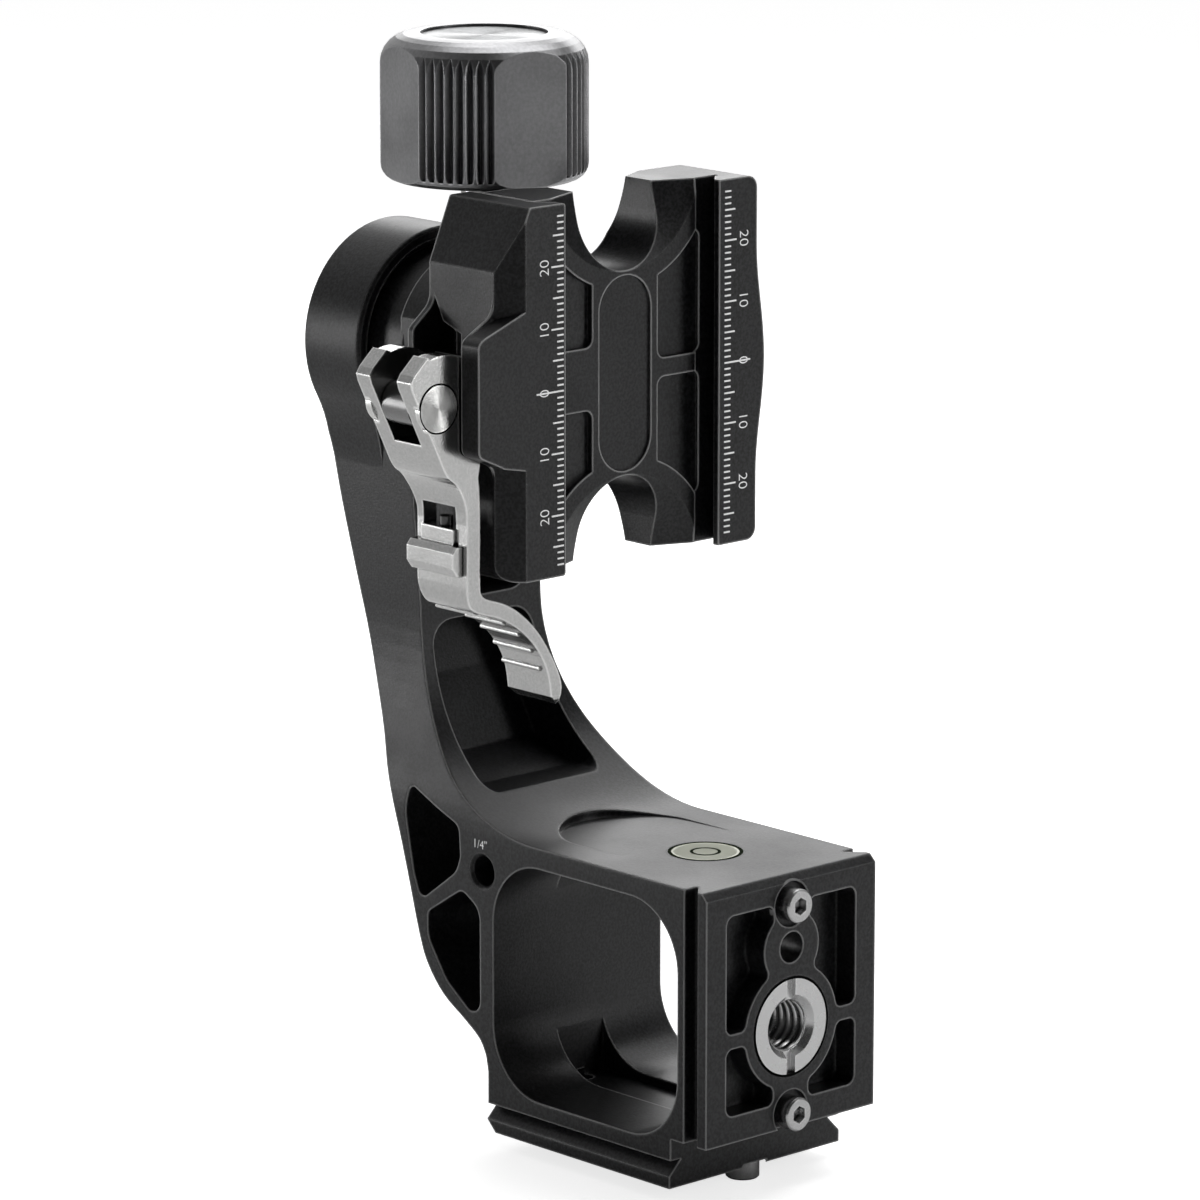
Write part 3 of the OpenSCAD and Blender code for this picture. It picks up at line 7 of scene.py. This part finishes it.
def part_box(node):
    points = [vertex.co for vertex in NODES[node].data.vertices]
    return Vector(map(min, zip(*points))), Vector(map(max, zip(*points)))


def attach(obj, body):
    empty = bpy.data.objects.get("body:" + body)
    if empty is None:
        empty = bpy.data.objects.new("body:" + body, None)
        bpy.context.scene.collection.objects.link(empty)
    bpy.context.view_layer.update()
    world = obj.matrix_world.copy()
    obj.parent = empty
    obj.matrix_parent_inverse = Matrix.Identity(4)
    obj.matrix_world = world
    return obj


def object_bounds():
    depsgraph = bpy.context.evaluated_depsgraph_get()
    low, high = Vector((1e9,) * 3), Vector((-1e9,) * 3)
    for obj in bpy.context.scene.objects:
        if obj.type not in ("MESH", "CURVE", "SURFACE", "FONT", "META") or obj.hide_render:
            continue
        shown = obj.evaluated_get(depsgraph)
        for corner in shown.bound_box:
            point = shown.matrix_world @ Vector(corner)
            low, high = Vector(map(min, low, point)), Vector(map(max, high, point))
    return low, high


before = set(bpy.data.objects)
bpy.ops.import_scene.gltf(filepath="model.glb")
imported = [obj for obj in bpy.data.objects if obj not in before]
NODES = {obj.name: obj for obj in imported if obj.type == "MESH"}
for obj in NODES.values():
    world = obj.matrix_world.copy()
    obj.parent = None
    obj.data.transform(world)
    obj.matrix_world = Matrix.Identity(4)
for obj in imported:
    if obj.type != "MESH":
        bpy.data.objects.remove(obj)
CAD_BOX = [list(corner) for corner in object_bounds()]

MM = 0.001
SCENE = bpy.context.scene
TILT_Z = 125.4 * MM
IMAGE_PX = 1200
ARM_W = 37.5 * MM

# Studio: camera, floor, backdrop and lamps
CAMERA_AT = Vector((735.83, -695.38, 314.07)) * MM
CAMERA_TURN = 47.197
CAMERA_DROP = 12.498
FOCAL_PX = 6461.6
SENSOR_MM = 36.0
NEAREST_SEEN = 10 * MM
FLOOR_HALF = 1500 * MM
FLOOR_WHITE = 0.9
FLOOR_GLOW = 0.75
# Strength of the studio's dark and lit halves, and the way to the lit one: back, left and up
STUDIO_DARK = 0.06
STUDIO_LIT = 0.75
LIT_WAY = Vector((-0.80, 0.45, 0.40)).normalized()
# Cosines of the angle from that way between which the dark half turns into the lit one
DARK_COSINE = 0.1
LIT_COSINE = 0.9
# Soft boxes: place, aim and size in metres, and watts
LAMPS = {
    "top_box": ((-0.10, 0.25, 0.75), (-0.02, 0, 0.1), (0.7, 0.5), 3.4),
    "back_box": ((-0.45, 0.62, 0.42), (0.01, 0, 0.05), (0.7, 0.35), 1.8),
    "left_strip": ((-0.60, -0.50, 0.12), (-0.03, 0, 0.11), (0.16, 0.26), 0.8),
    "right_strip": ((0.70, 0.45, 0.25), (0, 0, 0.1), (0.16, 0.7), 1.3),
    "front_box": ((0.25, -0.8, 0.5), (0, 0, 0.1), (0.5, 0.4), 0.12),
}

# Finishes: widths of the painted edge highlights, the lathe's marks, the bush's thread of 16 turns an
# inch, the share of colour left where shade is painted into creases and the lightest colour of a metal's
# painted edge highlight
EDGE_HIGHLIGHT_W = 0.4 * MM
TURNED_EDGE_HIGHLIGHT_W = 0.3 * MM
TURNED_EDGE = 0.15 * MM
TURNED_PITCH = 0.16 * MM
TURNED_DEPTH = 0.006 * MM
TURNED_SHEEN = 0.85
THREAD_PITCH = 25.4 / 16 * MM
THREAD_R = 4 * MM
CREASE_SHADE_KEEPS = 0.12
HIGHLIGHT_TOP = 0.95
MATT_IOR = 1.08
EDGE_SAMPLES = 4
# Samples of the occlusion that masks the painted edge highlights and the painted shade in creases
PAINTED_LIGHT_SAMPLES = 6
# Openness, from 0 in a corner to 1 on a flat, between which a painted edge highlight or the painted shade
# in a seam fades out
EDGE_HIGHLIGHT_FADE = (0.62, 0.86)
CREASE_SHADE_FADE = (0.45, 0.85)

# Markings: thickness, share of a letter's size that a capital fills, how far the strokes' edges
# are drawn in, heights and places
MARK_T = 0.03 * MM
CAPITAL_SHARE = 0.70
STROKE_INSET = 0.035 * MM
DIGIT_H = 1.95 * MM
JAW_DIGIT_Y = -21.2 * MM
BED_DIGIT_Y = 22.2 * MM
DIGIT_STEP = 10
THREAD_MARK_H = 1.5 * MM
THREAD_MARK = (-23.5 * MM, -ARM_W / 2, 47.9 * MM)
RING_SIDES = 96
# Inner and outer radii of the level's ring of painted groove shade and of its printed circle,
# and of the rings of painted shade in the gaps round the pin and the bush
LEVEL_GROOVE_SHADE = (5.5 * MM, 6.1 * MM)
LEVEL_CIRCLE = (2.0 * MM, 2.5 * MM)
PIN_GAP_SHADE = (3.8 * MM, 4.02 * MM)
BUSH_GAP_SHADE = (7.85 * MM, 8.2 * MM)


def set_camera():
    data = bpy.data.cameras.new("camera")
    data.sensor_width = SENSOR_MM
    data.lens = FOCAL_PX / IMAGE_PX * SENSOR_MM
    data.clip_start = NEAREST_SEEN
    camera = bpy.data.objects.new("camera", data)
    camera.location = CAMERA_AT
    camera.rotation_euler = (math.radians(90 - CAMERA_DROP), 0, math.radians(CAMERA_TURN))
    SCENE.collection.objects.link(camera)
    SCENE.camera = camera


def area_lamp(name, at, look, size, watts):
    data = bpy.data.lights.new(name, "AREA")
    data.shape = "RECTANGLE"
    data.size, data.size_y = size
    data.energy = watts
    lamp = bpy.data.objects.new(name, data)
    lamp.location = at
    lamp.rotation_euler = (Vector(look) - Vector(at)).to_track_quat("-Z", "Y").to_euler()
    SCENE.collection.objects.link(lamp)


def view_rays(nodes):
    """1 for the camera's rays and those that come through glass, 0 for all others."""
    path = nodes.new("ShaderNodeLightPath")
    seen = nodes.new("ShaderNodeMath")
    seen.operation = "MAXIMUM"
    nodes.id_data.links.new(path.outputs["Is Camera Ray"], seen.inputs[0])
    nodes.id_data.links.new(path.outputs["Is Transmission Ray"], seen.inputs[1])
    return seen


def set_world():
    world = bpy.data.worlds.new("studio")
    SCENE.world = world
    world.use_nodes = True
    nodes, links = world.node_tree.nodes, world.node_tree.links
    nodes.clear()
    seen = view_rays(nodes)
    where = nodes.new("ShaderNodeTexCoord")
    side = nodes.new("ShaderNodeVectorMath")
    side.operation = "DOT_PRODUCT"
    side.inputs[1].default_value = LIT_WAY
    links.new(where.outputs["Generated"], side.inputs[0])
    level = nodes.new("ShaderNodeMapRange")
    level.inputs["From Min"].default_value = DARK_COSINE
    level.inputs["From Max"].default_value = LIT_COSINE
    level.inputs["To Min"].default_value = STUDIO_DARK
    level.inputs["To Max"].default_value = STUDIO_LIT
    links.new(side.outputs["Value"], level.inputs["Value"])
    studio = nodes.new("ShaderNodeBackground")
    links.new(level.outputs["Result"], studio.inputs["Strength"])
    white = nodes.new("ShaderNodeBackground")
    white.inputs["Color"].default_value = (1, 1, 1, 1)
    white.inputs["Strength"].default_value = 1.0
    mix = nodes.new("ShaderNodeMixShader")
    links.new(seen.outputs[0], mix.inputs["Fac"])
    links.new(studio.outputs[0], mix.inputs[1])
    links.new(white.outputs[0], mix.inputs[2])
    out = nodes.new("ShaderNodeOutputWorld")
    links.new(mix.outputs[0], out.inputs["Surface"])


def make_floor(z):
    mesh = bpy.data.meshes.new("floor")
    corners = [(x * FLOOR_HALF, y * FLOOR_HALF, z) for x, y in ((-1, -1), (1, -1), (1, 1), (-1, 1))]
    mesh.from_pydata(corners, [], [(0, 1, 2, 3)])
    floor = bpy.data.objects.new("floor", mesh)
    SCENE.collection.objects.link(floor)
    material = bpy.data.materials.new("pale_floor")
    material.use_nodes = True
    nodes, links = material.node_tree.nodes, material.node_tree.links
    nodes.clear()
    seen = view_rays(nodes)
    matt = nodes.new("ShaderNodeBsdfDiffuse")
    matt.inputs["Color"].default_value = (FLOOR_WHITE, FLOOR_WHITE, FLOOR_WHITE, 1)
    glow = nodes.new("ShaderNodeEmission")
    glow.inputs["Strength"].default_value = FLOOR_GLOW
    both = nodes.new("ShaderNodeAddShader")
    links.new(matt.outputs[0], both.inputs[0])
    links.new(glow.outputs[0], both.inputs[1])
    mix = nodes.new("ShaderNodeMixShader")
    links.new(seen.outputs[0], mix.inputs["Fac"])
    links.new(matt.outputs[0], mix.inputs[1])
    links.new(both.outputs[0], mix.inputs[2])
    out = nodes.new("ShaderNodeOutputMaterial")
    links.new(mix.outputs[0], out.inputs["Surface"])
    mesh.materials.append(material)


class Look:
    """A node-based material, built up socket by socket."""

    def __init__(self, name, color, metallic, roughness, ior=1.5):
        self.material = bpy.data.materials.new(name)
        self.material.use_nodes = True
        self.nodes = self.material.node_tree.nodes
        self.links = self.material.node_tree.links
        self.shader = self.nodes["Principled BSDF"]
        self.shader.inputs["Metallic"].default_value = metallic
        self.shader.inputs["IOR"].default_value = ior
        self.color = color
        self.roughness = roughness
        self.shader.inputs["Base Color"].default_value = (*color, 1)
        self.shader.inputs["Roughness"].default_value = roughness
        self.where = self.nodes.new("ShaderNodeTexCoord").outputs["Object"]
        self.normal = None
        self.tint = None

    def noise(self, scale, detail):
        texture = self.nodes.new("ShaderNodeTexNoise")
        texture.inputs["Scale"].default_value = scale
        texture.inputs["Detail"].default_value = detail
        self.links.new(self.where, texture.inputs["Vector"])
        return texture.outputs["Fac"]

    def ramp(self, value, low, high, start=0.35, end=0.65):
        span = self.nodes.new("ShaderNodeMapRange")
        span.inputs["From Min"].default_value = start
        span.inputs["From Max"].default_value = end
        span.inputs["To Min"].default_value = low
        span.inputs["To Max"].default_value = high
        self.links.new(value, span.inputs["Value"])
        return span.outputs["Result"]

    def round_edges(self, radius):
        bevel = self.nodes.new("ShaderNodeBevel")
        bevel.samples = EDGE_SAMPLES
        bevel.inputs["Radius"].default_value = radius
        self.normal = bevel.outputs["Normal"]
        self.links.new(self.normal, self.shader.inputs["Normal"])

    def bump(self, value, height, strength):
        node = self.nodes.new("ShaderNodeBump")
        node.inputs["Distance"].default_value = height
        node.inputs["Strength"].default_value = strength
        self.links.new(value, node.inputs["Height"])
        if self.normal is not None:
            self.links.new(self.normal, node.inputs["Normal"])
        self.normal = node.outputs["Normal"]
        self.links.new(self.normal, self.shader.inputs["Normal"])

    def mix_color(self, share, first, second):
        """Base colour from first to second, each a colour or what another node gives."""
        mix = self.nodes.new("ShaderNodeMix")
        mix.data_type = "RGBA"
        self.links.new(share, mix.inputs["Factor"])
        for socket, value in (("A", first), ("B", second)):
            if isinstance(value, bpy.types.NodeSocket):
                self.links.new(value, mix.inputs[socket])
            else:
                mix.inputs[socket].default_value = (*value, 1)
        self.tint = mix.outputs["Result"]
        self.links.new(self.tint, self.shader.inputs["Base Color"])

    def vary_color(self, value, darker, lighter, start=0.3, end=0.7):
        dark = [c * darker for c in self.color]
        light = [min(1, c * lighter) for c in self.color]
        self.mix_color(self.ramp(value, 0, 1, start, end), dark, light)

    def openness(self, width, inside):
        """How open the surface is within that width: outside it, or inside its own piece. It masks the
        painted highlights and the painted shade.
        """
        node = self.nodes.new("ShaderNodeAmbientOcclusion")
        node.inside = inside
        node.only_local = inside
        node.samples = PAINTED_LIGHT_SAMPLES
        node.inputs["Distance"].default_value = width
        return node.outputs["AO"]

    def painted_edge_highlight(self, color, width):
        """Painted highlight: outer edges, where the surface turns away within that width, take a lighter
        colour.
        """
        self.mix_color(self.ramp(self.openness(width, True), 1, 0, *EDGE_HIGHLIGHT_FADE), self.tint, color)

    def painted_crease_shade(self, width):
        """Painted shade: grooves and seams narrower than that width keep only a share of the colour."""
        dark = [c * CREASE_SHADE_KEEPS for c in self.color]
        self.mix_color(self.ramp(self.openness(width, False), 1, 0, *CREASE_SHADE_FADE), self.tint, dark)

    def vector(self, operation, a, b=None):
        node = self.nodes.new("ShaderNodeVectorMath")
        node.operation = operation
        self.links.new(a, node.inputs[0])
        if b is not None:
            node.inputs[1].default_value = b
        return node

    def math(self, operation, a, b=None):
        node = self.nodes.new("ShaderNodeMath")
        node.operation = operation
        for place, value in enumerate((a, b)):
            if isinstance(value, (int, float)):
                node.inputs[place].default_value = value
            elif value is not None:
                self.links.new(value, node.inputs[place])
        return node.outputs[0]

    def thread(self, center, pitch):
        """A screw's ridges round a line through center along X, as a wave from 0 to 1, and the
        distance from that line."""
        split = self.nodes.new("ShaderNodeSeparateXYZ")
        self.links.new(self.where, split.inputs[0])
        y = self.math("SUBTRACT", split.outputs["Y"], center[1])
        z = self.math("SUBTRACT", split.outputs["Z"], center[2])
        turns = self.math("MULTIPLY", self.math("ARCTAN2", z, y), 1 / (2 * math.pi))
        along = self.math("MULTIPLY", split.outputs["X"], 1 / pitch)
        wave = self.math("PINGPONG", self.math("ADD", turns, along), 0.5)
        away = self.math("SQRT", self.math("ADD", self.math("MULTIPLY", y, y), self.math("MULTIPLY", z, z)))
        return self.math("MULTIPLY", wave, 2.0), away

    def vary_roughness(self, value, amount):
        self.links.new(self.ramp(value, self.roughness - amount, self.roughness + amount),
                       self.shader.inputs["Roughness"])

    def rings(self, center, axis):
        """Fine turning marks: rings round a line through center along axis."""
        across = [0.0 if i == axis else 1.0 for i in range(3)]
        place = self.vector("SUBTRACT", self.where, center)
        flat = self.vector("MULTIPLY", place.outputs[0], across)
        along = self.vector("NORMALIZE", flat.outputs[0])
        self.links.new(along.outputs[0], self.shader.inputs["Tangent"])
        self.shader.inputs["Anisotropic"].default_value = TURNED_SHEEN
        away = self.vector("LENGTH", flat.outputs[0])
        turns = self.math("MULTIPLY", away.outputs["Value"], 2 * math.pi / TURNED_PITCH)
        return self.math("SINE", turns)


# Colour of a metal's painted edge highlight: lighter by that factor, up to a cap
def highlight_metal_color(color, times):
    return [min(HIGHLIGHT_TOP, c * times) for c in color]


def black_anodised(name, edge, highlight_grey):
    """Black coating with a fine speckle, and painted highlights along its edges."""
    look = Look(name, (0.0036, 0.0036, 0.0040), 0.0, 0.36, 1.42)
    grain = look.noise(2800, 3.0)
    cloud = look.noise(55, 4.0)
    look.round_edges(edge)
    look.bump(grain, 0.05 * MM, 0.5)
    look.vary_roughness(cloud, 0.05)
    look.vary_color(look.noise(2100, 2.0), 0.1, 5.0, 0.38, 0.62)
    look.painted_edge_highlight((highlight_grey, highlight_grey, highlight_grey), EDGE_HIGHLIGHT_W)
    return look.material


def satin_metal(name, color, roughness, grain_size=0.12 * MM, edge=0.25 * MM, highlight_gain=1.35, seam_shade_w=0.7 * MM):
    """Blasted metal: shine is how much lighter its painted edge highlights are, crease the width of the
    shade painted into a seam.
    """
    look = Look(name, color, 1.0, roughness)
    grain = look.noise(0.5 / grain_size, 2.0)
    cloud = look.noise(80, 3.0)
    look.round_edges(edge)
    look.bump(grain, 0.02 * MM, 0.6)
    look.vary_roughness(cloud, 0.05)
    look.vary_color(grain, 0.88, 1.08)
    look.painted_edge_highlight(highlight_metal_color(color, highlight_gain), edge * 1.6)
    look.painted_crease_shade(seam_shade_w)
    return look.material


def turned_metal(name, color, roughness, center, axis):
    """Metal off a lathe, with rings round a line through center along axis, and painted highlights along
    its edges.
    """
    look = Look(name, color, 1.0, roughness)
    rings = look.rings(center, axis)
    look.round_edges(TURNED_EDGE)
    look.bump(rings, TURNED_DEPTH, 0.9)
    look.vary_roughness(look.noise(300, 3.0), 0.04)
    look.vary_color(look.noise(900, 2.0), 0.9, 1.08)
    look.painted_edge_highlight(highlight_metal_color(color, 1.4), TURNED_EDGE_HIGHLIGHT_W)
    return look.material


def threaded_metal(name, color, roughness, center):
    """Turned outside, with the turns of a thread in its bore drawn in bands of painted shade, and painted
    highlights along its edges.
    """
    look = Look(name, color, 1.0, roughness)
    wave, away = look.thread(center, THREAD_PITCH)
    in_bore = look.ramp(away, 1, 0, THREAD_R * 1.02, THREAD_R * 1.06)
    turns = look.math("MULTIPLY", wave, in_bore)
    look.round_edges(TURNED_EDGE)
    look.bump(turns, THREAD_PITCH * 0.9, 1.0)
    look.vary_roughness(look.noise(300, 3.0), 0.04)
    # Painted shade: the colour darkens in bands along the thread's turns in the bore
    look.vary_color(look.math("SUBTRACT", 1, turns), 0.12, 1.05, 0.1, 0.9)
    look.painted_edge_highlight(highlight_metal_color(color, 1.4), TURNED_EDGE_HIGHLIGHT_W)
    return look.material


def plastic(name, color, roughness, ior=1.5, glow=0.0):
    """Plastic, paint or ink: glow is painted light, the share of its colour that it gives off and so shows
    in full shade too.
    """
    look = Look(name, color, 0.0, roughness, ior)
    look.shader.inputs["Emission Color"].default_value = (*color, 1)
    look.shader.inputs["Emission Strength"].default_value = glow
    look.bump(look.noise(2500, 3.0), 0.02 * MM, 0.5)
    look.vary_roughness(look.noise(200, 3.0), 0.05)
    look.vary_color(look.noise(150, 3.0), 0.92, 1.06)
    return look.material


def clear(name, color, roughness, ior, cover):
    """A window over what lies under it: cover is the share of its own colour that shows."""
    look = Look(name, color, 0.0, roughness, ior)
    look.shader.inputs["Alpha"].default_value = cover
    look.vary_color(look.noise(400, 2.0), 0.96, 1.03)
    look.vary_roughness(look.noise(300, 2.0), 0.01)
    return look.material


def dress(names, material):
    for name in names:
        mesh = NODES[name].data
        mesh.materials.clear()
        mesh.materials.append(material)


def middle(name):
    low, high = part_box(name)
    return (low + high) / 2


def mark(name, words, at, height, across, up, material, body):
    """Raised lettering: across is the reading direction, up the tops of the letters."""
    curve = bpy.data.curves.new(name, "FONT")
    curve.body = words
    curve.size = height / CAPITAL_SHARE
    curve.align_x = "CENTER"
    curve.align_y = "CENTER"
    curve.extrude = MARK_T
    curve.offset = -STROKE_INSET
    curve.materials.append(material)
    letters = bpy.data.objects.new(name, curve)
    across, up = Vector(across), Vector(up)
    turn = Matrix((across, up, across.cross(up))).transposed().to_4x4()
    letters.matrix_world = Matrix.Translation(at) @ turn
    SCENE.collection.objects.link(letters)
    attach(letters, body)


def flat_ring(name, center, axis, radii, material, body):
    """Thin ring that faces along X, axis 0, or Z, axis 2."""
    across = [i for i in range(3) if i != axis]
    points = []
    for lift in (0, MARK_T):
        for r in radii:
            for i in range(RING_SIDES):
                turn = 2 * math.pi * i / RING_SIDES
                point = Vector(center)
                point[axis] += lift
                point[across[0]] += r * math.cos(turn)
                point[across[1]] += r * math.sin(turn)
                points.append(point)
    low_in, low_out, top_in, top_out = (k * RING_SIDES for k in range(4))
    faces = []
    for i in range(RING_SIDES):
        j = (i + 1) % RING_SIDES
        faces += [(low_in + i, low_in + j, low_out + j, low_out + i),
                  (top_in + i, top_out + i, top_out + j, top_in + j),
                  (low_out + i, low_out + j, top_out + j, top_out + i),
                  (low_in + j, low_in + i, top_in + i, top_in + j)]
    mesh = bpy.data.meshes.new(name)
    mesh.from_pydata(points, [], faces)
    mesh.materials.append(material)
    ring = bpy.data.objects.new(name, mesh)
    SCENE.collection.objects.link(ring)
    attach(ring, body)


set_camera()
set_world()
make_floor(CAD_BOX[0][2])
for lamp, settings in LAMPS.items():
    area_lamp(lamp, *settings)

# Materials, piece by piece
BLACK = black_anodised("black_anodised", edge=0.4 * MM, highlight_grey=0.55)
dress(["clamp_body", "moving_jaw", "drum_cap", "hub_retainer"], BLACK)
dress(["arm"], black_anodised("black_anodised_arm", edge=0.8 * MM, highlight_grey=0.38))
GREY = satin_metal("titanium_grey", (0.25, 0.25, 0.255), 0.33, grain_size=0.3 * MM, highlight_gain=2.4,
                   seam_shade_w=1.6 * MM)
dress(["knob"], GREY)
SILVER = satin_metal("satin_silver", (0.50, 0.50, 0.495), 0.20, grain_size=0.2 * MM, edge=0.3 * MM,
                     highlight_gain=1.7)
dress(["lever", "latch", "knob_collar"], SILVER)
dress(["knob_cap"], turned_metal("bright_disc", (0.27, 0.274, 0.278), 0.40, middle("knob_cap"), 2))
BUSH = middle("threaded_bush")
THREADED = threaded_metal("bush_steel", (0.55, 0.55, 0.55), 0.28, BUSH)
dress(["threaded_bush"], THREADED)
dress(["lever_pin"], turned_metal("pin_steel", (0.62, 0.62, 0.61), 0.22, middle("lever_pin"), 0))
dress(["end_stop_screws", "foot_stop_screws"], satin_metal("screw_steel", (0.5, 0.5, 0.5), 0.26))
# Steel darkened as painted shade, for the rod that sits in shade between the lever's ears
dress(["draw_rod"], satin_metal("shaded_rod_steel", (0.22, 0.22, 0.22), 0.24))
dress(["spindle", "spindle_nut", "brake_sleeve", "guide_pins", "knob_screw"],
      satin_metal("turned_steel", (0.55, 0.55, 0.56), 0.25))
dress(["spindle_screw", "drum_cap_screws", "rod_nut"], satin_metal("black_screw", (0.05, 0.05, 0.055), 0.4))
dress(["bearing_inner_rings", "bearing_outer_rings", "bearing_balls", "cam_pads"],
      satin_metal("bearing_steel", (0.65, 0.65, 0.66), 0.12))
dress(["jaw_springs", "latch_spring", "latch_keeper"], satin_metal("spring_steel", (0.10, 0.10, 0.10), 0.3))
dress(["bearing_cages"], satin_metal("cage_brass", (0.62, 0.45, 0.2), 0.3))
dress(["bearing_spacer"], satin_metal("plain_aluminium", (0.5, 0.51, 0.52), 0.35))
dress(["brake_pad"], plastic("brake_plastic", (0.75, 0.72, 0.62), 0.5))
# The markings are real print; their glow is painted light that keeps them bright in shade
WHITE = plastic("white_marking", (0.85, 0.85, 0.85), 0.6, glow=0.3)
dress(["bed_scale", "jaw_scale"], WHITE)
dress(["level_cup"], plastic("level_rim", (0.50, 0.52, 0.36), 0.25))
dress(["level_fluid"], plastic("level_fluid", (0.50, 0.53, 0.36), 0.15))
dress(["level_bubble"], plastic("level_bubble", (0.62, 0.64, 0.50), 0.10))
dress(["level_lens"], clear("level_lens", (0.50, 0.53, 0.38), 0.3, ior=1.3, cover=0.6))
# Dark green print for the level's circle, also laid as painted shade in the ring round the level
INK_AND_SHADE = plastic("dark_green_ink_and_shade", (0.012, 0.018, 0.008), 0.9, ior=MATT_IOR)
# Black for the rings of painted shade in the gaps round the pin and the bush
GAP_SHADE = plastic("shadow_gap", (0.004, 0.004, 0.004), 0.9, ior=MATT_IOR)

# Numbers beside the graduations, every ten millimetres from the tilt axis
JAW_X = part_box("bed_scale")[0][0]
for steps in (-2, -1, 0, 1, 2):
    z = TILT_Z + steps * DIGIT_STEP * MM
    words = str(abs(steps) * DIGIT_STEP)
    at_jaw = (JAW_X, JAW_DIGIT_Y, z)
    at_bed = (JAW_X, BED_DIGIT_Y, z)
    mark(f"jaw_number_{steps + 2}", words, at_jaw, DIGIT_H, (0, 0, 1), (0, -1, 0), WHITE, "jaw")
    mark(f"bed_number_{steps + 2}", words, at_bed, DIGIT_H, (0, 0, -1), (0, 1, 0), WHITE, "clamp")
mark("side_thread_size", '1/4"', THREAD_MARK, THREAD_MARK_H, (1, 0, 0), (0, 0, 1), WHITE, "root")

# A circle printed on the bubble level, and round it a ring of painted shade where the level meets the deck
LEVEL = middle("level_lens")
LEVEL.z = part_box("level_lens")[1][2]
flat_ring("level_groove_shade", LEVEL, 2, LEVEL_GROOVE_SHADE, INK_AND_SHADE, "root")
flat_ring("level_circle", LEVEL, 2, LEVEL_CIRCLE, INK_AND_SHADE, "root")

# Painted shade: dark rings where the gaps round the lever's pin and the bush lie in shadow
PIN = middle("lever_pin")
PIN.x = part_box("lever_pin")[1][0]
flat_ring("pin_gap_shade", PIN, 0, PIN_GAP_SHADE, GAP_SHADE, "clamp")
BUSH.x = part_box("threaded_bush")[1][0]
flat_ring("bush_gap_shade", BUSH, 0, BUSH_GAP_SHADE, GAP_SHADE, "root")

SCENE.view_settings.view_transform = "Standard"
